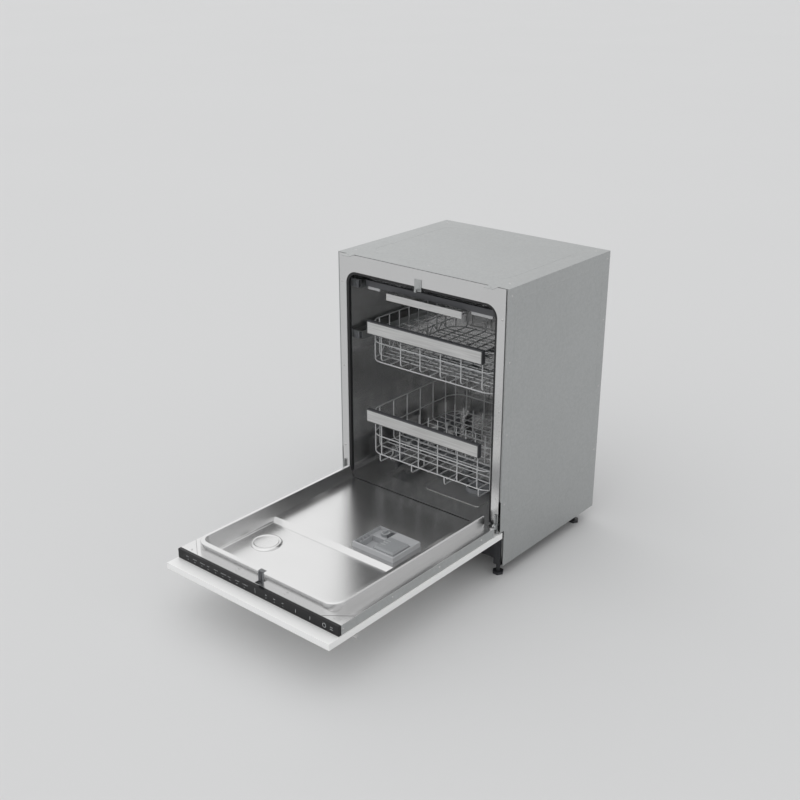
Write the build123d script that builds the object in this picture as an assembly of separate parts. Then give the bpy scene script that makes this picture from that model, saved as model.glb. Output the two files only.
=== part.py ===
from build123d import *
import os
from math import cos, pi, radians, sin

# Built-in dishwasher with its door folded down flat and its racks pushed home.
# Drawn in millimetres: x from the machine's centre, y from the closed front panel's face into the
# machine, z up from the floor. export() then moves the origin under the middle of the whole part.

# Machine
machine_width = 598.0
machine_depth = 570.0
machine_height = 865.0
casing_sheet = 1.2
casing_rear_gap = 8.0
side_panel_front = 53.0
tab_inset = 49.0
tab_half_width = 15.0
tab_reach = 22.0
tab_hole_radius = 2.5
tab_hole_y = 40.0
foot_height = 40.0
foot_radius = 17.0
foot_stem_radius = 5.7
foot_inset = 29.0
front_foot_y = 92.0
rear_foot_inset = 70.0
base_top = 150.0
base_front = 95.0
base_rear_gap = 22.0
base_wall = 3.0
saddle_front = 114.0
saddle_rear_inset = 78.0
cheek_front = 69.0
cheek_width = 24.0
cheek_top = 130.0

# Hinge axis, which runs along x
hinge_y = 43.0
hinge_z = 174.0
pin_radius = 4.0
hinge_arm_inset = 11.0
hinge_arm_sheet = 4.0
hinge_arm_reach = 110.0
hinge_arm_boss = 9.0
quadrant_radius = 36.0
bracket_sheet = 3.0
bracket_foot = 4.3
spring_radius = 5.5
spring_bottom = 65.0
spring_top = 120.0
strap_sheet = 1.5
hook_radius = 2.0
running_gap = 0.06
gap = 0.3

# Door. u runs from the hinge axis towards the control strip and w from the axis towards the racks.
door_inset = 5.0
door_start = 12.0
door_end_gap = 41.0
door_face = 4.0
door_back = -24.0
door_sheet = 1.0
strip_thickness = 10.0
panel_inset = 1.0
panel_start = -24.0
panel_end_gap = 3.0
panel_thickness = 19.0
rim_clearance = 9.0
rim_width = 12.0
rim_height = 28.0
rim_margin = 18.0
rim_radius = 40.0
rim_draft = 3.0
rim_edge = 4.0
plateau_depth = 8.0
plateau_end = 345.0
step_run = 12.0
step_edge = 5.0
floor_depth = 20.0
floor_draft = 16.0
floor_edge = 7.0
emboss_radius = 40.0
emboss_height = 3.0
emboss_x = -160.0
emboss_from_step = 107.0

# Handle bar on the outside of the front panel
bar_radius = 6.0
bar_end_inset = 18.0
bar_post_inset = 58.0
bar_standoff = 25.0
bar_drop = 78.0

# Detergent dispenser in the door
dispenser_x = 120.0
dispenser_width = 144.0
dispenser_length = 115.0
dispenser_from_step = 17.0
dispenser_rise = 16.0
dispenser_sink = 12.0
dispenser_flange = 5.0
dispenser_wall = 3.0
tray_rise = 5.0
tray_side = 62.0
lid_width = 70.0
lid_length = 70.0
lid_thickness = 9.0
lid_facet = 5.0
lid_sink = 2.0
lid_margin = 6.0
powder_width = 46.0
powder_length = 64.0
powder_wall = 4.0
cap_radius = 13.0
cap_height = 8.0
cap_grip = 4.0

# Latch: a nose on the tub enters a mouth at the end of the door
nose_half_width = 3.0
nose_inset = 17.0
nose_depth = 12.0
nose_height = 8.0
mouth_clearance = 3.0
latch_half_width = 16.0
bolt_half_width = 5.0
bolt_length = 20.0
bolt_height = 6.0
tower_half_width = 10.0

# Tub
tub_side_room = 22.0
tub_head_room = 37.0
tub_rear_room = 25.0
tub_sheet = 1.5
tub_front = 50.0
tub_radius = 25.0
flange_inset = 7.0
flange_bottom = 153.0
opening_lip = 10.0
opening_drop = 13.0
opening_radius = 37.0
sill_front = 36.0
sill_inset = 7.0
sill_drop = 8.0
basin_half_width = 175.0
basin_front = 110.0
basin_rear_gap = 20.0
basin_depth = 10.0
seal_thickness = 7.2
seal_depth = 10.0
jacket_thickness = 14.0
jacket_top = 7.2
jacket_front = 130.0

# Water system
filter_x = 95.0
filter_y = 230.0
filter_radius = 40.0
filter_rise = 12.0
filter_bottom = 105.0
strainer_width = 210.0
strainer_length = 200.0
strainer_offset = 30.0
sump_half = 58.0
sump_corner = 20.0
sump_bottom = 80.0
wash_pump_radius = 38.0
wash_pump_length = 120.0
wash_neck_length = 45.0
drain_pump_radius = 24.0
drain_pump_length = 90.0
drain_x = 215.0
drain_z = 100.0
inlet_x = -180.0
inlet_z = 110.0
valve_size = 50.0
inlet_radius = 13.2
drain_radius = 10.0
spigot_neck = 7.0
spigot_bore = 5.0
collar_width = 4.5
collar_length = 3.0
pipe_width = 36.0
pipe_depth = 7.0
feed_tube_width = 28.0
feed_tube_height = 11.0
post_radius = 13.0
post_drop = 30.0
arm_y = 300.0
arm_pin_radius = 5.0
arm_hub_radius = 24.0
arm_thickness = 12.0
arm_blade = 7.2
arm_tip = 11.0
lower_arm_rise = 20.0
lower_arm_radius = 180.0
lower_arm_width = 46.0
upper_arm_drop = 30.0
upper_arm_radius = 205.0
upper_arm_width = 40.0
top_arm_drop = 31.0
top_arm_radius = 120.0
top_arm_width = 32.0

# Wire baskets, at home
wire = 4.0
corner = 50.0
basket_rear_gap = 12.0
lower_side_room = 45.0
lower_front = 99.0
lower_floor_rise = 66.0
lower_depth = 136.0
upper_front = 105.0
upper_floor_drop = 295.0
upper_depth = 122.0
grip_inset = 24.0
grip_height = 40.0
grip_thickness = 13.0
grip_reach = 34.0
grip_wall = 3.0
strip_inset = 18.0
strip_margin = 2.0
strip_sheet = 1.5
grip_lug_x = 125.0
grip_lug_width = 16.0
lower_grip_rise = 2.0
upper_grip_drop = 5.0
runner_drop = 25.0
runner_length = 64.0
runner_xs = (-186.0, -62.0, 62.0, 186.0)

# Wheels and folding tines of the lower basket
wheel_radius = 19.5
wheel_width = 12.0
wheel_inset = 34.0
axle_radius = 3.0
carrier_thickness = 4.0
carrier_edge = 8.0
wheel_rows = ((216.0, 340.0), (404.0, 510.0))
tine_height = 92.0
tine_pitch = 36.0
tine_count = 9
tine_width = 3.0
tine_rod = 2.0
tine_rows = {"front": 238.0, "rear": 372.0}

# Cup shelves of the upper basket
shelf_rise = 73.0
shelf_rod = 1.5
shelf_reach = 86.0
shelf_start = 150.0
shelf_rear_inset = 53.0
shelf_bars = 7

# Telescopic rails, from the basket's side out to the tub's wall
rail_room = 41.0
rail_height = 26.0
rail_member = 9.7
rail_wall = 2.0
rail_start = 92.0
rail_rear_gap = 13.0
upper_rail_rise = 77.0

# Cutlery tray, at home
tray_front = 92.0
tray_rear_gap = 25.0
tray_drop = 62.0
tray_height = 18.0
tray_wall = 5.0
tray_corner = 14.0
tray_divider_x = -8.0
tray_slots = 6
tray_rail_rise = 2.0
tray_grip_half_length = 134.0
tray_grip_height = 20.0
tray_grip_reach = 20.0
tray_grip_arm = 16.0

# What follows from the sizes above
half_width = machine_width / 2
foot_x = half_width - foot_inset
rear_foot_y = machine_depth - rear_foot_inset
base_rear = machine_depth - base_rear_gap
saddle_rear = base_rear - saddle_rear_inset
casing_rear = machine_depth - casing_rear_gap
flange_top = machine_height - casing_sheet
flange_half_width = half_width - flange_inset
tub_half_width = half_width - tub_side_room
tub_ceiling = machine_height - tub_head_room
tub_rear = machine_depth - tub_rear_room
tub_floor = hinge_z + door_face - plateau_depth
tub_underside = tub_floor - basin_depth - tub_sheet
floor_half_width = tub_half_width - tub_radius
opening_half_width = tub_half_width - opening_lip
opening_top = tub_ceiling - opening_drop
sill_half_width = opening_half_width - sill_inset
basin_rear = tub_rear - basin_rear_gap
door_half_width = half_width - door_inset
door_end = machine_height - hinge_z - door_end_gap
hinge_arm_x = door_half_width - hinge_arm_inset
hinge_arm_middle = hinge_arm_x + hinge_arm_sheet / 2
bracket_x = hinge_arm_x + hinge_arm_sheet + 0.5
panel_half_width = half_width - panel_inset
panel_end = machine_height - hinge_z - panel_end_gap
rim_half_width = opening_half_width - rim_clearance
rim_inner_half_width = rim_half_width - rim_width
rim_end = door_end - strip_thickness - rim_margin
emboss_u = plateau_end + emboss_from_step
bar_half_length = panel_half_width - bar_end_inset
bar_post_x = panel_half_width - bar_post_inset
bar_u = door_end - bar_drop
dispenser_end = plateau_end - dispenser_from_step
dispenser_start = dispenser_end - dispenser_length
nose_u = door_end - nose_inset
filter_top = tub_floor + filter_rise
lower_arm_z = tub_floor + lower_arm_rise
lower_half_width = tub_half_width - lower_side_room
lower_rear = tub_rear - basket_rear_gap
lower_bottom = tub_floor + lower_floor_rise
lower_top = lower_bottom + lower_depth
lower_grip_z = lower_top + lower_grip_rise
upper_half_width = tub_half_width - rail_room
upper_rear = tub_rear - basket_rear_gap
upper_bottom = tub_ceiling - upper_floor_drop
upper_top = upper_bottom + upper_depth
upper_grip_z = upper_top - upper_grip_drop
upper_arm_z = upper_bottom - upper_arm_drop
upper_rail_z = upper_bottom + upper_rail_rise
top_arm_z = tub_ceiling - top_arm_drop
grip_half_length = lower_half_width - grip_inset
strip_half_length = grip_half_length - strip_inset
wheel_inner_x = lower_half_width - wheel_inset
axle_z = tub_floor + wheel_radius + gap
shelf_z = upper_bottom + shelf_rise
shelf_end = upper_rear - shelf_rear_inset
rail_length = tub_rear - rail_start - rail_rear_gap
tray_half_width = tub_half_width - rail_room
tray_rear = tub_rear - tray_rear_gap
tray_bottom = tub_ceiling - tray_drop
tray_rail_z = tray_bottom + tray_rail_rise
origin_y = (machine_depth - panel_end + hinge_y) / 2


def block(x, y, z):
    """Box between the two values given for each axis."""
    size = (x[1] - x[0], y[1] - y[0], z[1] - z[0])
    return Pos((x[0] + x[1]) / 2, (y[0] + y[1]) / 2, (z[0] + z[1]) / 2) * Box(*size)


def door_block(x, u, w):
    """Box in the open door's own directions."""
    return block(x, (hinge_y - u[1], hinge_y - u[0]), (hinge_z + w[0], hinge_z + w[1]))


def both(x0, x1):
    """The same span on the left and on the right."""
    return (-x1, -x0), (x0, x1)


def rod(radius, start, end):
    """Round bar between two points."""
    line = Edge.make_line(start, end)
    return extrude(Plane(start, z_dir=line % 0) * Circle(radius), line.length)


def bars(spans):
    """Flat sketch of crossing bars, each (low x, high x, low y, high y)."""
    sketch = Sketch()
    for x0, x1, y0, y1 in spans:
        sketch += Pos((x0 + x1) / 2, (y0 + y1) / 2) * Rectangle(x1 - x0, y1 - y0)
    return sketch


def spread(low, high, count):
    """Evenly spaced values from low to high."""
    return [low + (high - low) * i / (count - 1) for i in range(count)]


# Casing and base


def tub_profile(grow):
    """Front view of the tub's inside, grown outwards."""
    low, high = tub_floor - grow, tub_ceiling + grow
    centre = Plane((0, tub_front + tub_sheet, (low + high) / 2), x_dir=(1, 0, 0), z_dir=(0, 1, 0))
    return centre * RectangleRounded(2 * (tub_half_width + grow), high - low, tub_radius + grow)


def opening_profile(shrink, y):
    """Front opening, square at the sill and rounded above, drawn on a plane at y."""
    half = opening_half_width - shrink
    top = opening_top - shrink
    radius = opening_radius - shrink
    centre = Plane((0, y, (tub_floor + top) / 2), x_dir=(1, 0, 0), z_dir=(0, 1, 0))
    outline = Rectangle(2 * half, top - tub_floor)
    upper = outline.vertices().sort_by(Axis.Y)[:2]
    return centre * fillet(upper, radius)


def make_tub():
    """Stainless wrapper and back, with the flat flange round the front opening."""
    inside = extrude(tub_profile(0), tub_rear - tub_front - tub_sheet)
    outside = extrude(tub_profile(tub_sheet), tub_rear - tub_front)
    flange = block((-flange_half_width, flange_half_width), (tub_front, tub_front + tub_sheet),
                   (flange_bottom, flange_top))
    tub = outside + flange - inside
    tub -= extrude(opening_profile(0, tub_front - 1), 2 + tub_sheet)
    tub -= block((-floor_half_width, floor_half_width), (tub_front + tub_sheet, tub_rear), (0, tub_floor))
    tub -= block((-sill_half_width, sill_half_width), (0, tub_front + tub_sheet), (0, tub_floor))
    for x in both(hinge_arm_x - 1, hinge_arm_x + hinge_arm_sheet + 1):
        tub -= block(x, (tub_front - 1, tub_front + 2 * tub_sheet),
                     (flange_bottom - 1, hinge_z + quadrant_radius + 2))
    return tub


def make_tub_floor():
    """Floor pan with the basin that drains to the filter, and the sill under the door's edge."""
    basin = block((-basin_half_width, basin_half_width), (basin_front, basin_rear),
                  (tub_floor - basin_depth, tub_floor + 1))
    skin = block((-basin_half_width - tub_sheet, basin_half_width + tub_sheet),
                 (basin_front - tub_sheet, basin_rear + tub_sheet), (tub_underside, tub_floor))
    deck = block((-floor_half_width, floor_half_width), (tub_front, tub_rear),
                 (tub_floor - tub_sheet, tub_floor))
    sill = block((-sill_half_width, sill_half_width), (sill_front, tub_front + tub_sheet),
                 (tub_floor - tub_sheet, tub_floor))
    lip = block((-sill_half_width, sill_half_width), (sill_front, sill_front + tub_sheet),
                (tub_floor - sill_drop, tub_floor))
    apron = block((-sill_half_width, sill_half_width), (tub_front, tub_front + tub_sheet),
                  (flange_bottom, tub_floor))
    pan = deck + skin + sill + lip + apron - basin
    pan -= Pos(filter_x, filter_y, tub_floor - basin_depth) * Cylinder(filter_radius + 2, 4 * tub_sheet)
    return pan - Pos(0, arm_y, tub_floor - basin_depth) * Cylinder(post_radius + gap, 4 * tub_sheet)


def make_tub_gasket():
    """Rubber seal that lines the opening's sides and top, behind the flange."""
    start = tub_front + tub_sheet + gap
    ring = opening_profile(gap, start) - opening_profile(gap + seal_thickness, start)
    seal = extrude(ring, seal_depth)
    return seal - block((-opening_half_width, opening_half_width), (tub_front, tub_rear),
                        (0, tub_floor + seal_thickness + 2 * gap))


def make_insulation_jacket():
    """Felt on the tub's sides, top and back."""
    inner_x = tub_half_width + tub_sheet + gap
    outer_x = inner_x + jacket_thickness
    top = tub_ceiling + tub_sheet + gap
    rear = tub_rear + tub_sheet + gap
    base = base_top + gap
    felt = block((-outer_x, outer_x), (jacket_front, rear + jacket_thickness), (base, top + jacket_top))
    return felt - block((-inner_x, inner_x), (0, rear), (0, top))


def make_side_panels():
    """Side sheets, set back below where the open front panel swings."""
    sheets = []
    for x in both(half_width - casing_sheet, half_width):
        sheet = block(x, (side_panel_front, casing_rear), (foot_height, flange_top))
        swing = block((x[0] - 1, x[1] + 1), (0, hinge_y - panel_start + 5), (0, hinge_z + door_back + 5))
        sheets.append(sheet - swing)
    return Compound(children=sheets)


def make_top_plate():
    """Cover sheet with two tabs, each with a screw hole up into the worktop."""
    sheet = (flange_top, machine_height)
    plate = block((-half_width, half_width), (tub_front + 2 * tub_sheet, casing_rear), sheet)
    for x in (tab_inset - half_width, half_width - tab_inset):
        plate += block((x - tab_half_width, x + tab_half_width),
                       (tub_front - tab_reach, tub_front + 2 * tub_sheet), sheet)
        plate -= Pos(x, tab_hole_y, flange_top) * Cylinder(tab_hole_radius, 6 * casing_sheet)
    return plate


def make_base_frame():
    """Moulded tray with two saddles under the tub and a cheek in each front corner for the door spring."""
    half = flange_half_width
    tray = block((-half, half), (base_front, base_rear), (foot_height, base_top))
    tray -= block((-half + base_wall, half - base_wall), (base_front + base_wall, base_rear - base_wall),
                  (foot_height + base_wall, base_top + 1))
    for x in both(half - cheek_width, half):
        tray += block(x, (cheek_front, base_front + base_wall), (foot_height, cheek_top))
    for x in both(half - cheek_width + base_wall, half + 1):
        tray -= block(x, (cheek_front + base_wall, base_front), (foot_height + base_wall, base_top))
    for y in (saddle_front, saddle_rear):
        tray += block((-tub_half_width, tub_half_width), (y, y + base_wall),
                      (foot_height, tub_underside - gap))
    hole = spigot_neck + gap
    inlet = rod(hole, (inlet_x, base_rear - 2 * base_wall, inlet_z), (inlet_x, base_rear + 1, inlet_z))
    drain = rod(hole, (drain_x, saddle_rear - 1, drain_z), (drain_x, base_rear + 1, drain_z))
    return tray - inlet - drain


def make_levelling_feet():
    """Four screwed feet with hexagonal pads."""
    feet = []
    for x in (-foot_x, foot_x):
        for y in (front_foot_y, rear_foot_y):
            pad = extrude(Pos(x, y, 0) * RegularPolygon(foot_radius, 6), foot_height / 5)
            stem = Pos(x, y, foot_height / 2) * Cylinder(foot_stem_radius, foot_height)
            feet.append(pad + stem)
    return Compound(children=feet)


# Hinge, springs and latch


def make_hinge_brackets():
    """Ear with a fixed pin, folded from the foot that is screwed to the tub's flange."""
    parts = []
    outer = bracket_x + bracket_sheet
    ear_radius = tub_front - hinge_y - 0.1
    for side in (-1, 1):
        ear = block((bracket_x, outer), (hinge_y, tub_front), (hinge_z - ear_radius, hinge_z + ear_radius))
        ear += rod(ear_radius, (bracket_x, hinge_y, hinge_z), (outer, hinge_y, hinge_z))
        foot = block((bracket_x, bracket_x + bracket_foot), (tub_front - bracket_sheet, tub_front),
                     (hinge_z - 18, hinge_z + 10))
        pin = rod(pin_radius, (hinge_arm_x - 2, hinge_y, hinge_z), (outer - 1, hinge_y, hinge_z))
        piece = ear + foot + pin
        parts.append(piece if side > 0 else mirror(piece, Plane.YZ))
    return Compound(children=parts)


def make_hinge_arms():
    """Steel arm in each side of the door, with a quadrant behind the axis for the spring's strap."""
    x0, x1 = hinge_arm_x, hinge_arm_x + hinge_arm_sheet
    at_axis = Plane((x0, hinge_y, hinge_z), x_dir=(0, 1, 0), z_dir=(1, 0, 0))
    corner_box = Rectangle(quadrant_radius, quadrant_radius, align=(Align.MIN, Align.MIN))
    sector = at_axis * (Circle(quadrant_radius) & corner_box)
    arm = extrude(sector + at_axis * Circle(hinge_arm_boss), hinge_arm_sheet)
    arm += door_block((x0, x1), (0, hinge_arm_reach), (-hinge_arm_boss, -2))
    arm += door_block((x0, x1), (door_start + 8, hinge_arm_reach), (door_back + door_sheet, -2))
    bore = rod(pin_radius + running_gap, (x0 - 1, hinge_y, hinge_z), (x1 + 1, hinge_y, hinge_z))
    arm -= bore
    return Compound(children=[arm, mirror(arm, Plane.YZ)])


def make_door_springs():
    """Tension spring and strap that balance the door, one in each cheek of the base."""
    y = hinge_y + quadrant_radius + gap
    coil_y = y + strap_sheet + spring_radius - 1
    parts = []
    for x in (-hinge_arm_middle, hinge_arm_middle):
        coil = rod(spring_radius, (x, coil_y, spring_bottom), (x, coil_y, spring_top))
        strap = block((x - 2, x + 2), (y, y + strap_sheet), (spring_top - 10, hinge_z - 2))
        hook = block((x - hook_radius, x + hook_radius), (coil_y - hook_radius, coil_y + hook_radius),
                     (foot_height + base_wall + gap, spring_bottom + 5))
        parts.append(coil + strap + hook)
    return Compound(children=parts)


def make_latch_strike():
    """Plate on the flange's front with the nose that enters the door's mouth."""
    z = hinge_z + nose_u
    plate = block((-12, 12), (tub_front - 2, tub_front), (z - nose_height / 2, z + 30))
    head = block((-nose_half_width, nose_half_width), (tub_front - 2 - nose_depth, tub_front - 2),
                 (z, z + nose_height / 2))
    head += block((-nose_half_width, nose_half_width),
                  (tub_front - 2 - nose_depth, tub_front - 2 - nose_depth / 2),
                  (z - nose_height / 2, z + nose_height / 2))
    return plate + head


def mouth(clearance):
    """Space in the door for the latch nose."""
    half = nose_half_width + clearance
    low = nose_u - nose_height / 2 - clearance / 2
    return door_block((-half, half), (low, nose_u + nose_height / 2 + clearance / 2), (-12, door_face + 1))


def make_latch_housing():
    """Lock case inside the door's end, with a tower that fills the notch in the rim."""
    end = door_end - strip_thickness - gap
    bottom = door_face - floor_depth - door_sheet
    case = door_block((-latch_half_width, latch_half_width), (rim_end - rim_width + door_sheet + gap, end),
                      (bottom, door_face - door_sheet - gap))
    tower = door_block((-tower_half_width + gap, tower_half_width - gap), (rim_end - rim_width, rim_end),
                       (bottom, door_face + rim_height))
    slot = door_block((-bolt_half_width - gap, bolt_half_width + gap),
                      (nose_u - bolt_length, nose_u), (-bolt_height - gap, gap))
    return case + tower - mouth(mouth_clearance) - slot


def make_latch_bolt():
    """Sprung bolt, drawn back from the mouth."""
    tip = nose_u - nose_height / 2 - gap
    start = nose_u - bolt_length + gap
    return door_block((-bolt_half_width, bolt_half_width), (start, tip), (-bolt_height, 0))


# Door


def liner_form(sheet):
    """Everything below the liner's upper surface, lowered by the thickness of a sheet."""
    half, end = door_half_width, door_end - strip_thickness
    body = door_block((-half, half), (door_start, end), (-2 * floor_depth, door_face - sheet))
    return body + rim_block(sheet) - basin_block(sheet) + emboss(sheet)


def drafted_slab(half, end, radius, top, depth, draft):
    """Slab from its top downwards, rounded at the far corners and running on past the hinge end."""
    start = -2 * rim_radius
    outline = Rectangle(2 * half, end - start)
    far = outline.vertices().sort_by(Axis.Y)[-2:]
    seat = Plane((0, hinge_y - (start + end) / 2, hinge_z + top), x_dir=(1, 0, 0), z_dir=(0, 0, -1))
    return extrude(seat * fillet(far, radius), depth, taper=draft)


def rim_block(sheet):
    """Raised rim with drafted outer walls and a rounded upper edge."""
    top = door_face + rim_height - sheet
    half, end = rim_half_width - sheet, rim_end - sheet
    rim = drafted_slab(half, end, rim_radius - sheet, top, rim_height, -rim_draft)
    rim = fillet(rim.faces().sort_by(Axis.Z)[-1].edges(), rim_edge - sheet)
    return rim - door_block((-half_width, half_width), (-3 * rim_radius, door_start + sheet),
                            (-rim_height, 2 * rim_height))


def basin_block(sheet):
    """Space inside the rim: walls that slope in, plateau, sloped step and deeper floor."""
    top = door_face + rim_height + 1
    floor = door_face - floor_depth - sheet
    space = drafted_slab(rim_inner_half_width + sheet, rim_end - rim_width + sheet,
                         rim_radius - rim_width + sheet, top, top - floor, floor_draft)
    space = fillet(space.faces().sort_by(Axis.Z)[0].edges(), floor_edge + sheet)
    return space - step_ground(sheet)


def step_ground(sheet):
    """Ground under the plateau, with the sloped step down to the deeper floor."""
    top = door_face - plateau_depth - sheet
    low = door_face - floor_depth - sheet - 1
    run = step_run * (top - low) / (floor_depth - plateau_depth)
    points = [(-3 * rim_radius, low), (plateau_end + run, low), (plateau_end, top), (-3 * rim_radius, top)]
    side = Plane((-half_width, hinge_y, hinge_z), x_dir=(0, -1, 0), z_dir=(-1, 0, 0))
    profile = make_face(Polyline(*points, close=True))
    profile = fillet(profile.vertices().sort_by(Axis.Y)[-2:].sort_by(Axis.X)[-1:], step_edge)
    return extrude(side * profile, -2 * half_width)


def emboss(sheet):
    """Round raised field on the deeper floor."""
    low = hinge_z + door_face - floor_depth - 2 * sheet
    foot = (emboss_x, hinge_y - emboss_u, low)
    return rod(emboss_radius - sheet, foot, (*foot[:2], low + emboss_height + sheet))


def hinge_notches():
    """Clear space round the arms and ears at the door's hinge end."""
    span = both(hinge_arm_x - 2, bracket_x + bracket_foot + gap)
    return [door_block(x, (door_start - 2, door_start + 4), (-2 * floor_depth, rim_height)) for x in span]


def make_door_liner():
    """Inner sheet: raised rim, plateau for the rack's wheels, step, deeper floor and round emboss."""
    liner = liner_form(0) - liner_form(door_sheet) - hinge_notches()
    half = dispenser_width / 2 - dispenser_flange
    liner -= door_block((dispenser_x - half, dispenser_x + half),
                        (dispenser_start + dispenser_flange, dispenser_end - dispenser_flange),
                        (-floor_depth, floor_depth))
    liner -= door_block((-tower_half_width, tower_half_width), (rim_end - rim_width - 1, rim_end + 1),
                        (-2 * floor_depth, 2 * rim_height))
    return liner - mouth(mouth_clearance)


def make_door_frame():
    """Outer pan of the door, open at the end that the control strip closes."""
    half, end = door_half_width, door_end - strip_thickness
    pan = door_block((-half, half), (door_start, end), (door_back, door_face - door_sheet))
    inside = (-half + door_sheet, half - door_sheet)
    pan -= door_block(inside, (door_start + door_sheet, end + 1), (door_back + door_sheet, door_face))
    pan -= door_block(inside, (door_start - 1, door_start + 2 * door_sheet),
                      (door_face - plateau_depth - door_sheet, door_face))
    return pan - hinge_notches()


def make_control_strip():
    strip = door_block((-door_half_width, door_half_width), (door_end - strip_thickness, door_end),
                       (door_back, door_face))
    return chamfer(strip.edges().filter_by(Axis.X).group_by(Axis.Y)[0], 1.0)


def make_front_panel():
    panel = door_block((-panel_half_width, panel_half_width), (panel_start, panel_end),
                       (door_back - panel_thickness, door_back))
    return chamfer(panel.edges().group_by(Axis.Z)[0], 1.0)


def make_panel_handle():
    """Round bar on two posts."""
    face = hinge_z + door_back - panel_thickness
    y = hinge_y - bar_u
    z = face - bar_standoff
    bar = rod(bar_radius, (-bar_half_length, y, z), (bar_half_length, y, z))
    for x in (-bar_post_x, bar_post_x):
        bar += rod(bar_radius - 1, (x, y, z), (x, y, face))
    return bar


def make_dispenser_body():
    """Moulded case: an open tray on the left with the powder chamber, and a raised seat for the lid."""
    low = door_face - plateau_depth
    x0, x1 = dispenser_x - dispenser_width / 2, dispenser_x + dispenser_width / 2
    top = low + dispenser_rise
    case = door_block((x0, x1), (dispenser_start, dispenser_end), (low, top))
    case = chamfer(case.edges().group_by(Axis.Z)[-1], dispenser_wall - 1)
    inset = dispenser_flange + gap
    case += door_block((x0 + inset, x1 - inset), (dispenser_start + inset, dispenser_end - inset),
                       (low - dispenser_sink, low + 1))
    wall = dispenser_wall
    length = (dispenser_start + wall, dispenser_end - wall)
    case -= door_block((x0 + wall, x0 + wall + tray_side), length, (low + tray_rise, top + 1))
    powder = powder_span()
    case -= door_block(powder[0], powder[1], (low - dispenser_sink + door_sheet, top + 1))
    track = lid_span()
    return case - door_block((x0 + wall, x1 - wall), (track[0] - 1, track[1] + 1), (top - lid_sink, top + 1))


def powder_span():
    x0 = dispenser_x - dispenser_width / 2 + dispenser_flange + gap + powder_wall
    end = dispenser_end - dispenser_flange - gap - powder_wall
    return (x0, x0 + powder_width), (end - powder_length, end)


def lid_span():
    end = dispenser_end - lid_margin
    return end - lid_length, end


def make_dispenser_lid():
    """Cover with sloped sides that slides over the powder chamber; here it is slid open to the right."""
    top = door_face - plateau_depth + dispenser_rise - lid_sink + gap
    right = dispenser_x + dispenser_width / 2 - lid_margin
    lid = door_block((right - lid_width, right), lid_span(), (top, top + lid_thickness))
    return chamfer(lid.edges().group_by(Axis.Z)[-1], lid_facet)


def cap_centre():
    return dispenser_x - dispenser_width / 4, dispenser_start + cap_radius + 6


def make_rinse_aid_cap():
    """Quarter-turn cap with a grip across its middle."""
    x, u = cap_centre()
    y = hinge_y - u
    top = hinge_z + door_face - plateau_depth + tray_rise + gap
    cap = Pos(x, y, top + cap_height / 2) * Cylinder(cap_radius, cap_height)
    return cap + block((x - 2, x + 2), (y - cap_radius + 3, y + cap_radius - 3),
                       (top, top + cap_height + cap_grip))


# Water system


def make_sump():
    """Bowl under the filter's well."""
    outline = RectangleRounded(2 * sump_half, 2 * sump_half, sump_corner)
    bowl = extrude(Pos(filter_x, filter_y, sump_bottom) * outline, tub_underside - sump_bottom)
    well = rod(filter_radius + 2, (filter_x, filter_y, sump_bottom + base_wall),
               (filter_x, filter_y, tub_underside + 1))
    return bowl - well


def spigot(x, z, start, radius):
    """Pipe out through the base's rear wall to a hexagonal collar and a hose spigot with an open bore."""
    outside = base_rear + gap
    seat = outside + collar_length
    back = Plane((x, outside, z), x_dir=(1, 0, 0), z_dir=(0, 1, 0))
    pipe = rod(spigot_neck, (x, start, z), (x, seat, z))
    pipe += extrude(back * RegularPolygon(radius + collar_width, 6), collar_length)
    pipe += rod(radius, (x, seat - 1, z), (x, machine_depth, z))
    return pipe - rod(spigot_bore, (x, seat - 2, z), (x, machine_depth + 1, z))


def make_pumps():
    """Circulation pump on the base's floor and drain pump with its outlet, one each side of the sump."""
    z = foot_height + base_wall + gap + wash_pump_radius
    neck_z = z + post_radius
    sump_side = filter_x - sump_half - gap
    motor_end = sump_side - wash_neck_length
    wash = rod(wash_pump_radius, (motor_end - wash_pump_length, filter_y, z), (motor_end, filter_y, z))
    wash += rod(post_radius, (motor_end - 1, filter_y, neck_z), (sump_side, filter_y, neck_z))
    far_side = filter_x + sump_half + gap
    drain = rod(drain_pump_radius, (far_side, filter_y, drain_z),
                (far_side + drain_pump_length, filter_y, drain_z))
    drain += spigot(drain_x, drain_z, filter_y + spigot_neck, drain_radius)
    return Compound(children=[wash, drain])


def make_inlet_valve():
    """Solenoid valve on the base's rear wall with the threaded spigot for the supply hose."""
    inside = base_rear - base_wall - gap
    half = valve_size / 2
    body = block((inlet_x - half, inlet_x + half), (inside - valve_size, inside),
                 (inlet_z - half, inlet_z + half))
    return body + spigot(inlet_x, inlet_z, inside - 1, inlet_radius)


def make_filter_plate():
    """Fine strainer round the filter's mouth."""
    z = tub_floor - basin_depth
    outline = RectangleRounded(strainer_width, strainer_length, sump_corner)
    plate = extrude(Pos(filter_x - strainer_offset, filter_y, z) * outline, tub_sheet)
    plate -= Pos(filter_x, filter_y, z) * Cylinder(filter_radius + gap, 4 * tub_sheet)
    return plate - Pos(0, arm_y, z) * Cylinder(post_radius + 3, 4 * tub_sheet)


def make_filter_cylinder():
    """Mesh cup that is turned a quarter to lift it out, with a ring handle."""
    cup = Pos(filter_x, filter_y, (filter_top - 10 + filter_bottom) / 2)
    cup *= Cylinder(filter_radius, filter_top - 10 - filter_bottom)
    bowl = Pos(filter_x, filter_y, (filter_top + filter_bottom) / 2 + 10)
    cup -= bowl * Cylinder(filter_radius - 3, filter_top - filter_bottom)
    grip = block((filter_x - filter_radius + 1, filter_x + filter_radius - 1),
                 (filter_y - 3, filter_y + 3), (filter_top - 18, filter_top))
    return cup + grip


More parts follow.
